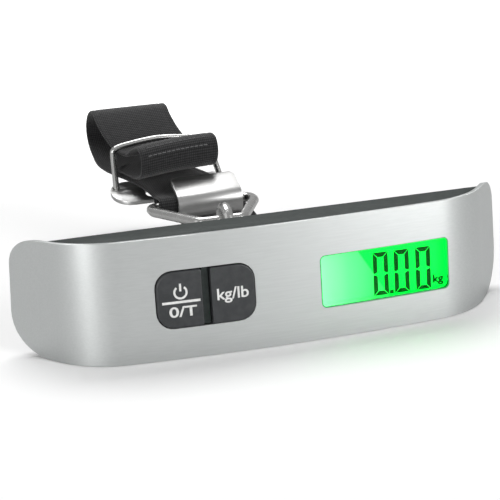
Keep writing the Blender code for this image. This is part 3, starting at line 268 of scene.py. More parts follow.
glow = new_finish("lit_display", (0.0, 0.9, 0.1), 0.4, specular=0.15)
place = add(glow, "ShaderNodeTexCoord")
split = add(glow, "ShaderNodeSeparateXYZ")
wire(glow, place.outputs["Object"], split.inputs["Vector"])
sheen_fade = add(glow, "ShaderNodeMapRange", From_Min=SHEEN_FADE_FROM, From_Max=SHEEN_FADE_TO)
wire(glow, split.outputs["X"], sheen_fade.inputs["Value"])
painted_sheen = paint_ramp(glow, *PAINTED_SHEEN_STOPS)
wire(glow, sheen_fade.outputs["Result"], painted_sheen.inputs["Fac"])
slant = add(glow, "ShaderNodeMath", operation="MULTIPLY_ADD")
slant.inputs[1].default_value = SHEEN_SLANT
wire(glow, split.outputs["Z"], slant.inputs[0])
wire(glow, split.outputs["X"], slant.inputs[2])
edge = add(glow, "ShaderNodeMapRange", From_Min=SHEEN_EDGE_FROM, From_Max=SHEEN_EDGE_TO)
wire(glow, slant.outputs[0], edge.inputs["Value"])
# Left of the slanted edge the glow takes the paler colours of the painted sheen.
sheen_mix = add(glow, "ShaderNodeMix", data_type="RGBA")
wire(glow, edge.outputs["Result"], sheen_mix.inputs[0])
wire(glow, painted_sheen.outputs["Color"], sheen_mix.inputs[6])
sheen_mix.inputs[7].default_value = DEEP_GREEN
wire(glow, sheen_mix.outputs[2], shader_of(glow).inputs["Emission Color"])
wire(glow, sheen_mix.outputs[2], shader_of(glow).inputs["Base Color"])
shader_of(glow).inputs["Emission Strength"].default_value = 0.75

digit_ink = new_finish("display_segments", (0.0, 0.07, 0.006), 0.6, specular=0.1)
mottled(digit_ink, (0.0, 0.06, 0.005), (0.0, 0.08, 0.008), 800)
shader_of(digit_ink).inputs["Emission Color"].default_value = (0.0, 0.12, 0.01, 1)
shader_of(digit_ink).inputs["Emission Strength"].default_value = 0.2

lens = new_finish("clear_lens", (0.86, 1.0, 0.90), 0.03, specular=0.12)
shader_of(lens).inputs["Transmission Weight"].default_value = 1.0
shader_of(lens).inputs["IOR"].default_value = 1.12
grain(lens, 300, 0.02, 0.01 * mm)
print("display finishes ready")

# %% [markdown]
# ## Finishes for what is inside
#
# Only the display shows in the photograph's view, but each inner piece has a
# real finish for whoever opens the scale: green solder mask with faint
# tracks, polyimide strain gauges, moulded white plastic, black epoxy. One
# plain grey would be quicker, and would look like a placeholder.

# %% Inner finishes
board_green = new_finish("solder_mask", (0.01, 0.13, 0.04), 0.35, coat=0.4)
tracks = add(board_green, "ShaderNodeTexBrick", Color1=(0.012, 0.15, 0.05, 1),
             Color2=(0.010, 0.12, 0.04, 1), Mortar=(0.03, 0.24, 0.08, 1),
             Scale=420, Mortar_Size=0.03)
wire(board_green, object_space(board_green, turned=(math.pi / 2, 0, 0)),
     tracks.inputs["Vector"])
wire(board_green, tracks.outputs["Color"],
     shader_of(board_green).inputs["Base Color"])

white_plastic = new_finish("moulded_white", (0.78, 0.78, 0.76), 0.5)
mottled(white_plastic, (0.72, 0.72, 0.70), (0.82, 0.82, 0.80), 400)
grain(white_plastic, 1800, 0.15, 0.03 * mm)

epoxy = new_finish("black_epoxy", (0.012, 0.012, 0.013), 0.2, coat=0.5)
mottled(epoxy, (0.009, 0.009, 0.010), (0.020, 0.020, 0.022), 500)
uneven_gloss(epoxy, 0.14, 0.32, 300)

film = new_finish("gauge_film", (0.62, 0.30, 0.06), 0.35, coat=0.3)
gauge_lines = add(film, "ShaderNodeTexWave", Scale=900)
film_ramp = paint_ramp(film, (0.0, (0.66, 0.32, 0.07)), (1.0, (0.42, 0.24, 0.10)))
wire(film, object_space(film, (0.2, 0.2, 1)), gauge_lines.inputs["Vector"])
wire(film, gauge_lines.outputs["Fac"], film_ramp.inputs["Fac"])
wire(film, film_ramp.outputs["Color"], shader_of(film).inputs["Base Color"])

elastomer = new_finish("striped_elastomer", (0.7, 0.32, 0.35), 0.7)
mottled(elastomer, (0.62, 0.27, 0.30), (0.78, 0.38, 0.40), 1500, (4, 1, 1))
print("inner finishes ready")

# %% [markdown]
# ## Dressing the solids
#
# Each solid of the frame gets the finish of the real piece's material. A
# table of finishes and nodes is easier to check than forty separate lines.

# %% Dress the carried-over solids
DRESSING = (
    (silver, ["front_cover"]),
    (charcoal, ["rear_housing", "battery_door", "button_frame"]),
    (key_rubber, ["power_button", "unit_button"]),
    (bright, ["eye_bolt", "triangle_ring", "keeper_bail", "coin_cell"]),
    (stamped, ["hook_plate", "battery_spring", "battery_contact"]),
    (zinc, ["housing_screw_1", "housing_screw_2", "housing_screw_3",
            "housing_screw_4", "board_screw_1", "board_screw_2",
            "load_cell_screw_1", "load_cell_screw_2", "eye_nut",
            "power_switch", "unit_switch"]),
    (aluminium, ["load_cell"]),
    (glow, ["lcd_glass", "lcd_backlight"]),
    (lens, ["window_lens"]),
    (board_green, ["circuit_board"]),
    (white_plastic, ["lcd_frame", "power_plunger", "unit_plunger"]),
    (epoxy, ["processor_blob", "battery_lead_rim", "battery_lead_face"]),
    (film, ["strain_gauge_1", "strain_gauge_2", "strain_gauge_3",
            "strain_gauge_4"]),
    (elastomer, ["elastomer_connector", "gauge_wires"]),
)


def dress(piece, finish):
    piece.data.materials.clear()
    piece.data.materials.append(finish)


for finish, nodes in DRESSING:
    for node in nodes:
        dress(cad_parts[node], finish)
print("dressed", sum(len(nodes) for finish, nodes in DRESSING), "nodes")

# %% [markdown]
# ## Soft edges on moulded and stamped pieces
#
# No real edge is perfectly sharp: the cover's rim is a thin bright line
# because its rounded edge catches the light. The edges could be rounded in
# the shader, but then the outline would stay sharp. So a copy of the solid is
# welded, its flat faces are cleaned up, and a narrow bevel rounds every sharp
# edge. The copy then stands in for the solid.

# %% Edge softening helper
WELD = 0.004 * mm
FLAT_WITHIN = math.radians(0.03)
SHARP_FROM = math.radians(32)
SMOOTH_BELOW = math.radians(35)


def only(piece):
    bpy.ops.object.select_all(action="DESELECT")
    piece.select_set(True)
    bpy.context.view_layer.objects.active = piece


def soften(node, name, width, segments, finish, body):
    piece = place_object(name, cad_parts[node].data.copy())
    only(piece)
    bpy.ops.object.mode_set(mode="EDIT")
    bpy.ops.mesh.select_all(action="SELECT")
    bpy.ops.mesh.remove_doubles(threshold=WELD)
    bpy.ops.mesh.dissolve_limited(angle_limit=FLAT_WITHIN)
    bpy.ops.object.mode_set(mode="OBJECT")
    round_off = piece.modifiers.new("round_off", "BEVEL")
    round_off.width = width
    round_off.segments = segments
    round_off.limit_method = "ANGLE"
    round_off.angle_limit = SHARP_FROM
    round_off.harden_normals = True
    round_off.use_clamp_overlap = True
    bpy.ops.object.modifier_apply(modifier="round_off")
    bpy.ops.object.shade_smooth_by_angle(angle=SMOOTH_BELOW)
    dress(piece, finish)
    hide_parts(node)
    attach(piece, body)
    print(name, len(piece.data.polygons), "faces")
    return piece


# %% [markdown]
# ## The cover's face
#
# From above, the cover's face is one smooth curve: a very wide arc, then a
# tight arc at each end. The solid has it in flat strips, and a satin finish
# shows every strip. More strips would only make them narrower. So the face
# gets the exact direction of that curve at each of its corners, worked out
# from the two arcs.

# %% Exact shading of the cover's face
FRONT_RADIUS, FRONT_HALF = 490.0 * mm, 46.3 * mm
END_RADIUS, END_ANGLE = 25.2 * mm, math.radians(53.6)
LEAN_ANGLE = math.radians(3.0)
LEAN = Matrix.Rotation(-LEAN_ANGLE, 3, "X")
ON_FACE = math.cos(math.radians(7))


def face_direction(x):
    """Which way the cover's outer face looks at x."""
    join = math.asin(FRONT_HALF / FRONT_RADIUS)
    centre = (FRONT_RADIUS - END_RADIUS) * math.sin(join)
    if abs(x) <= FRONT_HALF:
        sine = abs(x) / FRONT_RADIUS
    else:
        sine = min((abs(x) - centre) / END_RADIUS, math.sin(END_ANGLE))
    angle = math.asin(sine)
    flat = Vector((math.copysign(math.sin(angle), x), -math.cos(angle), 0))
    return LEAN @ flat


def exact_face(piece):
    data = piece.data
    kept = [tuple(corner.vector) for corner in data.corner_normals]
    exact = 0
    for face in data.polygons:
        if face.normal.dot(face_direction(face.center.x)) > ON_FACE:
            exact += 1
            for index in face.loop_indices:
                corner = data.vertices[data.loops[index].vertex_index].co
                kept[index] = tuple(face_direction(corner.x))
    data.normals_split_custom_set(kept)
    print(exact, "faces of the cover shaded exactly")


# %% Cover, housing and hook
exact_face(soften("front_cover", "silver_cover", 0.28 * mm, 3, silver, "housing"))
soften("rear_housing", "charcoal_housing", 0.22 * mm, 2, charcoal, "housing")
soften("hook_plate", "stamped_hook", 0.22 * mm, 3, stamped, "strap")

# %% [markdown]
# ## The wire ring and the bail
#
# Both are bent from round wire. The solids have them with few sides, and a
# bevel can't make those rounder. So each is swept again along the same line,
# with finer bends and a rounder section. The ring's outline is a narrow end
# for the eye, two long slanting sides, and a straight bar for the strap.

# %% Wire helpers
WIRE_SMOOTH_BELOW = math.radians(40)


def rounded(corners, radii, steps=10):
    """The closed outline through the corners, each turned into an arc."""
    outline = []
    for index, radius in enumerate(radii):
        corner = Vector(corners[index])
        to_a = (Vector(corners[index - 1]) - corner).normalized()
        to_b = (Vector(corners[(index + 1) % len(corners)]) - corner).normalized()
        half = to_a.angle(to_b) / 2
        middle = corner + (to_a + to_b).normalized() * radius / math.sin(half)
        start = (corner + to_a * radius / math.tan(half) - middle).normalized()
        end = (corner + to_b * radius / math.tan(half) - middle).normalized()
        for step in range(steps + 1):
            outline.append(tuple(middle + start.slerp(end, step / steps) * radius))
    return outline


def smooth_line(points, steps):
    """A Catmull-Rom curve through the points."""
    line = [Vector(point) for point in points]
    line = [2 * line[0] - line[1]] + line + [2 * line[-1] - line[-2]]
    curve = []
    for p0, p1, p2, p3 in zip(line, line[1:], line[2:], line[3:]):
        for step in range(steps):
            t = step / steps
            curve.append(0.5 * (2 * p1 + (p2 - p0) * t
                                + (2 * p0 - 5 * p1 + 4 * p2 - p3) * t * t
                                + (3 * p1 - p0 - 3 * p2 + p3) * t ** 3))
    return curve + [line[-2]]


def add_line(curve, points, closed):
    spline = curve.splines.new("POLY")
    spline.points.add(len(points) - 1)
    for point, place_at in zip(spline.points, points):
        point.co = (*place_at, 1)
    spline.use_cyclic_u = closed


def to_mesh(piece):
    """Turn a curve or text into the mesh that it shows."""
    only(piece)
    bpy.ops.object.convert(target="MESH")
    return bpy.context.object


def swept(name, lines, radius, closed=False, sides=7):
    """Round wire along each line, as one mesh."""
    curve = bpy.data.curves.new(name, "CURVE")
    curve.dimensions = "3D"
    curve.bevel_depth = radius
    curve.bevel_resolution = sides
    curve.use_fill_caps = True
    for points in lines:
        add_line(curve, points, closed)
    piece = to_mesh(place_object(name, curve))
    bpy.ops.object.shade_smooth_by_angle(angle=WIRE_SMOOTH_BELOW)
    print(name, len(piece.data.polygons), "faces")
    return piece


# %% Wire ring
RING_WIRE, RING_X = 1.6 * mm, -3.8 * mm
EYE_Y, EYE_Z = 46.7, 22.41
BAR_Y, BAR_Z = 74.5, 21.01
EYE_HALF, BAR_HALF, SHOULDER = 6.8 * mm, 16.7 * mm, 6 * mm
BEND, BAR_BEND = 2.8 * mm, 4.48 * mm

near_end = Vector((0, EYE_Y, EYE_Z)) * mm
bar_middle = Vector((0, BAR_Y, BAR_Z)) * mm
reach = (bar_middle - near_end).length
along_ring = (bar_middle - near_end).normalized()
ring_outline = rounded(
    ((-EYE_HALF, 0), (EYE_HALF, 0), (BAR_HALF, reach - SHOULDER),
     (BAR_HALF, reach), (-BAR_HALF, reach), (-BAR_HALF, reach - SHOULDER)),
    (BEND, BEND, BAR_BEND, BEND, BEND, BAR_BEND))
ring_line = [near_end + along_ring * y + Vector((RING_X + x, 0, 0))
             for x, y in ring_outline]
ring = swept("wire_ring", [ring_line], RING_WIRE, closed=True)
dress(ring, bright)
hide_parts("triangle_ring")
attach(ring, "ring")

# %% [markdown]
# The bail is a flat loop of thinner wire that stands on the hook's head and
# holds the folded strap down. Its route is listed from its left foot, over
# the top, to its right foot, which bends inwards. Places are counted from its
# left leg, its right leg and its top, so that a change of one of these moves
# what belongs to it.

# %% Wire bail
BAIL_WIRE, BAIL_Y = 1.0 * mm, 97.2
BAIL_LEFT, BAIL_RIGHT, BAIL_RISE = -26.6, 9.4, 17.8

foot_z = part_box("keeper_bail")[0][2] / mm
top_z = foot_z + BAIL_RISE
left_side = ((0, 4 - BAIL_RISE), (-0.1, -9), (-0.2, -4), (0.1, -2.6), (1.8, -1.7),
             (4.9, -1.1), (9.8, -0.4), (15.6, 0))
right_side = ((-13.4, -0.5), (-8.6, -1.4), (-4.6, -2.7), (-2.2, -5.0),
              (-1.9, -8.5), (-0.6, 4.5 - BAIL_RISE), (0, 2 - BAIL_RISE))
bail_route = [(BAIL_LEFT, foot_z)]
bail_route += [(BAIL_LEFT + x, top_z + z) for x, z in left_side]
bail_route += [(BAIL_RIGHT + x, top_z + z) for x, z in right_side]
bail_route += [(BAIL_RIGHT, foot_z)]
bail_line = smooth_line([Vector((x, BAIL_Y, z)) * mm for x, z in bail_route], 8)
bail = swept("wire_bail", [bail_line], BAIL_WIRE)
dress(bail, bright)
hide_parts("keeper_bail")
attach(bail, "bail")

# %% [markdown]
# ## The webbing's finish
#
# Webbing is woven: fine ribs run across it and rows of warp threads along it.
# Every thread could be modelled, but the scale of the weave is a fraction of
# a millimetre, so two waves are multiplied instead and drive a shallow relief
# and, in the colour, painted shading in the grooves between the threads; a
# noise adds a random fibre tone to both. They read the cloth's own texture
# coordinates, which are real distances across and along it, so the weave
# follows every fold.

# %% Webbing finish
cloth = new_finish("black_webbing", (0.018, 0.018, 0.019), 0.78, specular=0.2,
                   sheen=0.18)
shader_of(cloth).inputs["Sheen Roughness"].default_value = 0.45
own_uv = add(cloth, "ShaderNodeUVMap", uv_map="weave")
ribs = add(cloth, "ShaderNodeTexWave", Scale=400.0, bands_direction="Y")
warp = add(cloth, "ShaderNodeTexWave", Scale=500.0, bands_direction="X")
lint = add(cloth, "ShaderNodeTexNoise", Scale=900.0, Detail=5.0)
for texture in (ribs, warp, lint):
    wire(cloth, own_uv.outputs["UV"], texture.inputs["Vector"])
woven = add(cloth, "ShaderNodeMath", operation="MULTIPLY")
wire(cloth, ribs.outputs["Fac"], woven.inputs[0])
wire(cloth, warp.outputs["Fac"], woven.inputs[1])
fibres = add(cloth, "ShaderNodeMath", operation="MULTIPLY_ADD")
fibres.inputs[1].default_value = 0.7
wire(cloth, lint.outputs["Fac"], fibres.inputs[0])
wire(cloth, woven.outputs[0], fibres.inputs[2])
# The colour ramp paints shading into the weave's grooves and adds a random fibre
# tone.
groove_shading_and_fibre_tone = paint_ramp(cloth, (0.2, (0.0035, 0.0035, 0.004)),
                   (1.15 / 1.2, (0.036, 0.036, 0.037)))
wire(cloth, fibres.outputs[0], groove_shading_and_fibre_tone.inputs["Fac"])
wire(cloth, groove_shading_and_fibre_tone.outputs["Color"], shader_of(cloth).inputs["Base Color"])
bumped(cloth, fibres.outputs[0], 0.55, 0.22 * mm)

thread = new_finish("stitching_thread", (0.05, 0.05, 0.052), 0.6, sheen=0.4)
mottled(thread, (0.035, 0.035, 0.037), (0.085, 0.085, 0.087), 2500)
print("webbing and thread")

# %% [markdown]
# ## The folded strap
#
# One length of webbing, folded as in the photograph. A cloth simulation would
# fold it differently each time, so its path is listed, from the tail that
# stands on the table: up under the hook, round the ring's bar, back over the
# hook's head, round the far loop, forward under the bail, round the near roll
# and in between the layers. Each row is a distance behind the display, a
# height, and a shift to the right, in millimetres.

# %% Path of the cloth
WRAP_RADIUS, WRAP_X = 2.5, -4.5
STEP = 0.7 * mm
ROLL_START_Y, ROLL_START_Z = 96 * mm, 34.3 * mm
ROLL_EASE = 11 * mm
DROOP_RISE, DROOP_BEND, DROOP_EDGE = 1.1, 0.0032, 13

foot = [(98.0, 0.62, 3.4), (93.0, 0.62, 3.8), (88.4, 0.62, 4.3),
        (84.2, 1.2, 4.8), (81.4, 3.4, 5.3), (80.6, 6.8, 5.6),
        (82.0, 10.2, 5.4), (85.2, 13.2, 4.0), (88.8, 16.2, 1.6),
        (91.2, 19.2, -0.9), (90.8, 21.9, -2.6), (87.4, 22.4, -3.6),
        (83.6, 21.2, -4.1), (79.4, 19.7, -4.4)]
wrap = [(BAR_Y + WRAP_RADIUS * math.cos(math.radians(degrees)),
         BAR_Z + WRAP_RADIUS * math.sin(math.radians(degrees)), WRAP_X)
        for degrees in (270, 225, 180, 135, 90)]
layers = [(79.8, 23.3, -5.0), (85.6, 24.4, -6.4), (91.4, 25.4, -8.4),
          (97.2, 26.0, -10.8), (103.0, 26.4, -13.2), (109.0, 26.7, -15.0),
          (116.0, 27.2, -16.0), (123.0, 28.5, -16.0), (129.2, 31.0, -16.0),
          (132.2, 34.8, -16.0), (131.0, 38.9, -16.0), (127.2, 42.2, -16.0),
          (122.0, 44.4, -16.0), (117.2, 44.6, -16.0), (112.6, 42.2, -15.8),
          (107.6, 38.6, -14.6), (102.4, 35.2, -12.6), (97.2, 34.3, -10.8)]
roll = [(94.7, 34.6, -10.0), (91.4, 37.0, -9.3), (86.8, 39.3, -8.3),
        (82.7, 38.5, -7.9), (81.0, 35.0, -7.9), (82.4, 31.4, -8.1),
        (86.0, 29.4, -8.6), (91.6, 28.9, -9.6), (97.2, 29.0, -11.0),
        (102.6, 29.3, -12.4)]
rough_path = smooth_line([Vector((x, y, z)) * mm
                          for y, z, x in foot + wrap + layers + roll], 12)


def even_steps(points, step):
    """The same line with a point every step, and each one's distance."""
    walked, even, passed = 0.0, [points[0]], [0.0]
    for before, after in zip(points, points[1:]):
        span = Vector((0, after.y - before.y, after.z - before.z)).length
        while passed[-1] + step <= walked + span:
            share = (passed[-1] + step - walked) / span
            even.append(before.lerp(after, share))
            passed.append(passed[-1] + step)
        walked += span
    return even, passed, walked


path, distances, cloth_length = even_steps(rough_path, STEP)
roll_start = STEP * min(range(len(path)),
                        key=lambda i: abs(path[i].y - ROLL_START_Y)
                        + abs(path[i].z - ROLL_START_Z))


def cloth_point(index, a):
    """The cloth's middle, a metres across. The near roll droops to the left."""
    into = min(max((distances[index] - roll_start) / ROLL_EASE, 0.0), 1.0)
    eased = into * into * (3 - 2 * into)
    droop = (DROOP_RISE - DROOP_BEND * (a / mm - DROOP_EDGE) ** 2) * mm * eased
    return path[index] + Vector((a, 0, droop))


print("cloth length", round(cloth_length / mm, 1), "mm in", len(path), "rows")

# %% [markdown]
# The cloth is swept along that path as a closed section: a thin rib along
# each selvedge, a shallow groove beside it, and a flat middle. A plane with
# Solidify would have square edges all along, and these show in a close view.

# %% Sweep the cloth
HALF_WIDTH = 13.0 * mm
HALF_THICK = 0.55
SELVEDGE = ((0.0, 0.0), (0.05, 0.26), (0.25, 0.42), (0.6, 0.5), (1.3, 0.5),
            (1.8, 0.4), (2.3, 0.53), (4.5, 0.55), (7.0, 0.55), (10.0, 0.55))
CLOTH_SMOOTH_BELOW = math.radians(50)

top_side = [(-HALF_WIDTH + a * mm, b * mm) for a, b in SELVEDGE]
top_side += [(0.0, HALF_THICK * mm)]
top_side += [(-a, b) for a, b in reversed(top_side[:-1])]
around = top_side + [(a, -b) for a, b in reversed(top_side[1:-1])]


def outward(index):
    before = path[max(index - 1, 0)]
    after = path[min(index + 1, len(path) - 1)]
    return Vector((0, after.z - before.z, before.y - after.y)).normalized()


shape = bmesh.new()
uv = shape.loops.layers.uv.new("weave")
rows = []
for index in range(len(path)):
    side = outward(index)
    rows.append([shape.verts.new(cloth_point(index, a) + side * b)
                 for a, b in around])
for number, (row, after) in enumerate(zip(rows, rows[1:])):
    for index in range(len(around)):
        onward = (index + 1) % len(around)
        corners = ((index, number), (onward, number),
                   (onward, number + 1), (index, number + 1))
        face = shape.faces.new((row[index], row[onward],
                                after[onward], after[index]))
        for loop, (column, line) in zip(face.loops, corners):
            loop[uv].uv = (around[column][0], distances[line])
for row in (rows[0], rows[-1][::-1]):
    shape.faces.new(row)
bmesh.ops.recalc_face_normals(shape, faces=shape.faces)
cloth_mesh = bpy.data.meshes.new("folded_webbing")
shape.to_mesh(cloth_mesh)
shape.free()
webbing = place_object("folded_webbing", cloth_mesh)
only(webbing)
bpy.ops.object.shade_smooth_by_angle(angle=CLOTH_SMOOTH_BELOW)
dress(webbing, cloth)
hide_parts("strap_webbing")
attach(webbing, "strap")
print("webbing", len(cloth_mesh.polygons), "faces")

# %% [markdown]
# ## Stitching on the near roll
#
# Three rows of stitches cross the near roll. They could be painted, but each
# real stitch sinks into the cloth at its ends and catches the light on top.
# So every stitch is a short bent piece of thread, set on the cloth's own
# surface, and it rides with the strap.

# %% Stitching
SEAM_ROWS = ((88.6, 38.9), (83.4, 39.2), (81.7, 37.2))
SEAM_FROM, SEAM_TO = -HALF_WIDTH + 2.6 * mm, HALF_WIDTH - 3.6 * mm
STITCH, STITCH_PITCH, THREAD_RADIUS = 1.15 * mm, 1.55 * mm, 0.17 * mm
STITCH_ARCH = ((0, -0.12), (0.2, 0.06), (0.5, 0.12), (0.8, 0.06), (1, -0.12))
LATE_PART = 0.6


def row_at(y, z):
    """The number of the near roll's row nearest to a place in millimetres."""
    late = [i for i in range(len(path)) if distances[i] > LATE_PART * cloth_length]
    return min(late, key=lambda i: (path[i].y / mm - y) ** 2
               + (path[i].z / mm - z) ** 2)


stitches = []
for y, z in SEAM_ROWS:
    index = row_at(y, z)
    side = outward(index)
    start = SEAM_FROM
    while start < SEAM_TO:
        stitches.append([cloth_point(index, start + STITCH * share)
                         + side * (HALF_THICK + rise) * mm
                         for share, rise in STITCH_ARCH])
        start += STITCH_PITCH
seam = swept("roll_stitching", stitches, THREAD_RADIUS, sides=2)
dress(seam, thread)
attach(seam, "strap")
print(len(stitches), "stitches")

# %% [markdown]
# ## Flat shapes on the leaning body
#
# Digits, signs and the gasket are thin flat shapes on a body that leans back
# three degrees and has a curved face. Each is drawn upright as a flat curve
# or as text, in millimetres from the body's middle and its lower wall. It is
# then made a mesh, and every point is moved to its depth and leaned back.
# A shrinkwrap could do this too, but would follow the solid's flat strips.

# %% Flat shapes on a leaning plane
REST_Y = 8.5 * mm
REST_DROP = REST_Y * math.tan(LEAN_ANGLE)


def to_frame(x, depth, height):
    """A place in the body's own upright axes, moved into the leaning frame."""
    return LEAN @ Vector((x, depth - REST_Y, height - REST_DROP))


def face_depth(x):
    return FRONT_RADIUS - math.sqrt(FRONT_RADIUS ** 2 - x * x)


def lay_flat(piece, depth_of):
    """Lay a piece drawn in x and y on the body: y becomes height."""
    for vertex in piece.data.vertices:
        x, height, out = vertex.co
        vertex.co = to_frame(x, depth_of(x) - out, height)
    piece.data.update()


def rectangle(x0, y0, x1, y1):
    return [(x0, y0), (x1, y0), (x1, y1), (x0, y1)]


def flat_shapes(name, outlines, thick, depth_of, finish):
    """Filled outlines in millimetres, as one thin mesh on the body."""
    curve = bpy.data.curves.new(name, "CURVE")
    curve.dimensions = "2D"
    curve.fill_mode = "BOTH"
    curve.extrude = thick
    for outline in outlines:
        add_line(curve, [(x * mm, y * mm, 0) for x, y in outline], True)
    piece = to_mesh(place_object(name, curve))
    lay_flat(piece, depth_of)
    dress(piece, finish)
    return piece


def flat_text(name, words, size, middle, width, thick, depth_of, finish, bold):
    """Generic lettering, scaled to a width and centred on a place."""
    bpy.ops.object.text_add(location=(0, 0, 0))
    text = bpy.context.object
    text.name = name
    text.data.body = words
    text.data.size = size * mm
    text.data.extrude = thick
    text.data.offset = bold * mm
    text.data.resolution_u = 6
    piece = to_mesh(text)
    xs = [vertex.co.x for vertex in piece.data.vertices]
    ys = [vertex.co.y for vertex in piece.data.vertices]
    squeeze = width * mm / (max(xs) - min(xs))
    for vertex in piece.data.vertices:
        vertex.co.x = ((vertex.co.x - (max(xs) + min(xs)) / 2) * squeeze
                       + middle[0] * mm)
        vertex.co.y += middle[1] * mm - (max(ys) + min(ys)) / 2
    lay_flat(piece, depth_of)
    dress(piece, finish)
    return piece


print("the face stands", round(face_depth(FRONT_HALF) / mm, 2),
      "mm back at the ends of its wide arc")

# %% [markdown]
# ## Digits and unit sign
#
# The display shows a plain zero reading. On the real glass each digit is made
# of dark segments with mitred ends and thin gaps. A font would have neither,
# so the six segments of a nought are drawn by their corners: two of them, and
# the rest by mirroring.

# %% Digits
DIGIT_WIDTH, DIGIT_HEIGHT, STROKE, GAP = 4.6, 12.9, 1.4, 0.11
DIGIT_CORNERS = ((27.25, 8.6), (33.7, 8.55), (40.35, 8.5))
BODY_DEPTH = 27.3
GLASS_FRONT = 0.216 * BODY_DEPTH * mm
INK_THICK = 0.03 * mm


def on_glass(x):
    return GLASS_FRONT - 0.05 * mm


def zero(x, y):
    """The six lit segments of a nought whose lower left corner is at x, y."""
    w, h, middle, slim = DIGIT_WIDTH, DIGIT_HEIGHT, DIGIT_HEIGHT / 2, STROKE - 0.1
    upper = [(0, h - GAP), (slim, h - STROKE - GAP), (slim, middle + STROKE * 0.45),
             (0.35, middle + GAP), (0, middle + 0.5)]
    across = [(GAP, h), (w - GAP, h),
              (w - STROKE - GAP, h - STROKE), (STROKE + GAP, h - STROKE)]
    shapes = [upper, across, [(w - a, b) for a, b in upper]]
    shapes += [[(a, h - b) for a, b in part] for part in shapes]
    return [[(x + a, y + b) for a, b in part] for part in shapes]


shown = [part for corner in DIGIT_CORNERS for part in zero(*corner)]
shown.append(rectangle(32.1, 8.5, 33.3, 9.8))
digits = flat_shapes("display_digits", shown, INK_THICK, on_glass, digit_ink)
unit_sign = flat_text("display_unit", "kg", 3.4, (47.2, 11.0), 3.3, INK_THICK,
                      on_glass, digit_ink, bold=0.09)
for piece in (digits, unit_sign):
    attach(piece, "housing")
print(len(shown), "shapes and the unit sign")

# %% [markdown]
# ## Gasket and light wall
#
# The lens sits in a thin dark green gasket, a frame between two rounded
# rectangles. From the side one looks past the edge of the glass, so a thin
# lit wall closes the space between the lens and the glass all round. It is
# made as the same kind of frame, and its front and back are then moved to the
# lens and to the glass.


# %% Gasket
def frame_between(outer, outer_radius, inner, inner_radius):
    return [rounded(rectangle(*outer), (outer_radius,) * 4, 6),
            rounded(rectangle(*inner), (inner_radius,) * 4, 6)]


gasket_green = new_finish("gasket_green", (0.01, 0.30, 0.09), 0.4)
mottled(gasket_green, (0.008, 0.27, 0.08), (0.014, 0.34, 0.10), 900)
gasket_line = frame_between((9.55, 8.93, 49.45, 24.25), 1.55,
                            (9.85, 9.23, 49.15, 23.95), 1.3)
gasket = flat_shapes("window_gasket", gasket_line, 0.10 * mm,
                     lambda x: face_depth(x) + 0.22 * mm, gasket_green)
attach(gasket, "housing")
print("gasket", len(gasket.data.polygons), "faces")

# %% Light wall round the display
LENS_BACK = 2.15 * mm
GLASS_OVERLAP = 0.1 * mm

wall_line = frame_between((9.0, 8.4, 50.0, 24.8), 1.8,
                          (9.35, 8.75, 49.65, 24.45), 1.6)
light_wall = flat_shapes("display_light_wall", wall_line, 1.0 * mm,
                         lambda x: 0.0, glow)
for vertex in light_wall.data.vertices:
    upright = LEAN.transposed() @ vertex.co
    if upright.y + REST_Y < 0:
        depth = face_depth(upright.x) + LENS_BACK
    else:
        depth = GLASS_FRONT - GLASS_OVERLAP
    vertex.co = to_frame(upright.x, depth, upright.z + REST_DROP)
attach(light_wall, "housing")
print("light wall", len(light_wall.data.polygons), "faces")

# %% [markdown]
# ## Legends on the keys
#
# The left key has the usual power sign over a bar, and both keys carry short
# generic labels. The real ones are printed, so these stand only hundredths of
# a millimetre above the rubber. Drawn shapes keep their edges sharp at any
# distance, as a picture wouldn't. Each rides with its own key.

# %% Key legends
KEY_INSET, PRINT_THICK = 0.7 * mm, 0.02 * mm
SIGN_X, SIGN_Y = -31.1, 19.35

print_white = new_finish("key_print", (0.62, 0.62, 0.61), 0.5)
mottled(print_white, (0.56, 0.56, 0.55), (0.68, 0.68, 0.67), 1200)


def key_face(x):
    return face_depth(x) - KEY_INSET - PRINT_THICK


def arc_band(outer, inner, start, end, steps=28):
    """A broken ring round the sign's middle, clockwise between two angles."""
    turns = [math.radians(start + (end - start) * step / steps)
             for step in range(steps + 1)]
    rims = [[(SIGN_X + radius * math.sin(a), SIGN_Y + radius * math.cos(a))
             for a in turns] for radius in (outer, inner)]
    return rims[0] + rims[1][::-1]


power_sign = [arc_band(2.0, 1.42, 38, 322),
              rectangle(SIGN_X - 0.3, SIGN_Y + 0.3, SIGN_X + 0.3, SIGN_Y + 2.5),
              rectangle(-36.4, 16.25, -25.7, 16.95)]
legends = [
    (flat_shapes("power_sign", power_sign, PRINT_THICK, key_face, print_white),
     "power_key"),
    (flat_text("zero_legend", "0/T", 4.1, (-30.7, 13.85), 7.8, PRINT_THICK,
               key_face, print_white, bold=0.07), "power_key"),
    (flat_text("unit_legend", "kg/lb", 4.6, (-16.4, 16.9), 9.0, PRINT_THICK,
               key_face, print_white, bold=0.07), "unit_key"),
]
for piece, body in legends:
    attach(piece, body)
print("legends on both keys")

# %% [markdown]
# ## Floor and backdrop
#
# The photograph is a studio shot on white, with a soft shadow under the
# scale. A white backdrop could come from more light, but that would bleach
# the silver. So only the camera sees the world as white, through Light Path,
# and the floor glows a little more with each step away from the scale, also
# for the camera alone. Near the scale the floor keeps the real shadow. In
# reflections both are greyer, as the dark surroundings of a studio would be.

# %% Floor
FLOOR_SIZE, FLOOR_Y, FLOOR_Z = 6, 0.03, -0.0002
LIFT_FROM, LIFT_TO = 0.16, 0.42
NEAR_LIFT = 0.06
FLOOR_TONE, REFLECTED_TONE = 0.95, 0.52

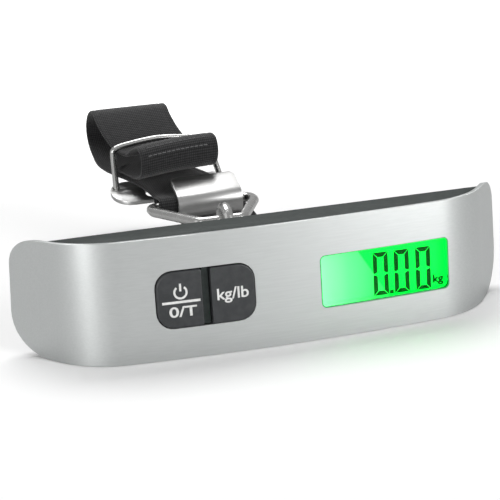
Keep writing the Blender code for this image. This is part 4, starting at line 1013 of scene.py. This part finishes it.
bpy.ops.mesh.primitive_plane_add(size=FLOOR_SIZE, location=(0, FLOOR_Y, FLOOR_Z))
floor = bpy.context.object
floor.name = "studio_floor"
paper = new_finish("studio_paper", (1, 1, 1), 0.9)
shader_of(paper).inputs["Emission Color"].default_value = (1, 1, 1, 1)
seen = add(paper, "ShaderNodeLightPath")
tone = add(paper, "ShaderNodeMix", data_type="RGBA")
tone.inputs[6].default_value = (FLOOR_TONE, FLOOR_TONE, FLOOR_TONE, 1)
tone.inputs[7].default_value = (REFLECTED_TONE, REFLECTED_TONE, REFLECTED_TONE, 1)
wire(paper, seen.outputs["Is Glossy Ray"], tone.inputs[0])
wire(paper, tone.outputs[2], shader_of(paper).inputs["Base Color"])
place = add(paper, "ShaderNodeTexCoord")
far_off = add(paper, "ShaderNodeVectorMath", operation="LENGTH")
wire(paper, place.outputs["Object"], far_off.inputs[0])
lift = add(paper, "ShaderNodeMapRange", From_Min=LIFT_FROM, From_Max=LIFT_TO,
           To_Min=NEAR_LIFT)
wire(paper, far_off.outputs["Value"], lift.inputs["Value"])
only_seen = add(paper, "ShaderNodeMath", operation="MULTIPLY")
wire(paper, lift.outputs["Result"], only_seen.inputs[0])
wire(paper, seen.outputs["Is Camera Ray"], only_seen.inputs[1])
wire(paper, only_seen.outputs[0], shader_of(paper).inputs["Emission Strength"])
floor.data.materials.append(paper)
print("floor", floor.dimensions.x, "m wide")

# %% World
ROOM_LIGHT, REFLECTED_LIGHT = 0.18, 0.22

world = bpy.data.worlds.new("studio")
bpy.context.scene.world = world
world.use_nodes = True
sky = world.node_tree.nodes["Background"]
sky.inputs["Color"].default_value = (1, 1, 1, 1)
seen = add(world, "ShaderNodeLightPath")
glossy_part = add(world, "ShaderNodeMath", operation="MULTIPLY_ADD")
glossy_part.inputs[1].default_value = REFLECTED_LIGHT
glossy_part.inputs[2].default_value = ROOM_LIGHT
strength = add(world, "ShaderNodeMath", operation="MAXIMUM")
wire(world, seen.outputs["Is Glossy Ray"], glossy_part.inputs[0])
wire(world, glossy_part.outputs[0], strength.inputs[0])
wire(world, seen.outputs["Is Camera Ray"], strength.inputs[1])
wire(world, strength.outputs[0], sky.inputs["Strength"])
print("world ready")

# %% [markdown]
# ## Soft panels
#
# Four soft panels light the scale, because a satin cover shows the shape of
# what lights it. The one at the right front makes its bright right half, the
# narrow strip at the left front makes the bright band on its left end, a weak
# one fills the left side, and the one above and behind lights the strap and
# the hook. Point lamps would give hard spots and hard shadows.

# %% Soft panels
PANELS = (
    ("right_front_panel", (0.55, -0.75, 0.28), (0.02, 0, 0.01), 0.45, 0.6, 6.2),
    ("left_strip", (-0.72, -0.60, 0.2), (-0.05, 0, 0.02), 0.12, 0.5, 4.0),
    ("left_side_panel", (-0.75, 0.1, 0.22), (-0.06, 0, 0.02), 0.3, 0.5, 0.3),
    ("top_panel", (0.0, 0.42, 0.78), (0, 0.05, 0.02), 0.7, 0.5, 5.8),
)
for name, place_at, target, width, height, power in PANELS:
    lamp = bpy.data.lights.new(name, "AREA")
    lamp.shape = "RECTANGLE"
    lamp.size = width
    lamp.size_y = height
    lamp.energy = power
    light = place_object(name, lamp)
    light.location = place_at
    aim = Vector(target) - Vector(place_at)
    light.rotation_euler = aim.to_track_quat("-Z", "Y").to_euler()
print(len(PANELS), "panels")
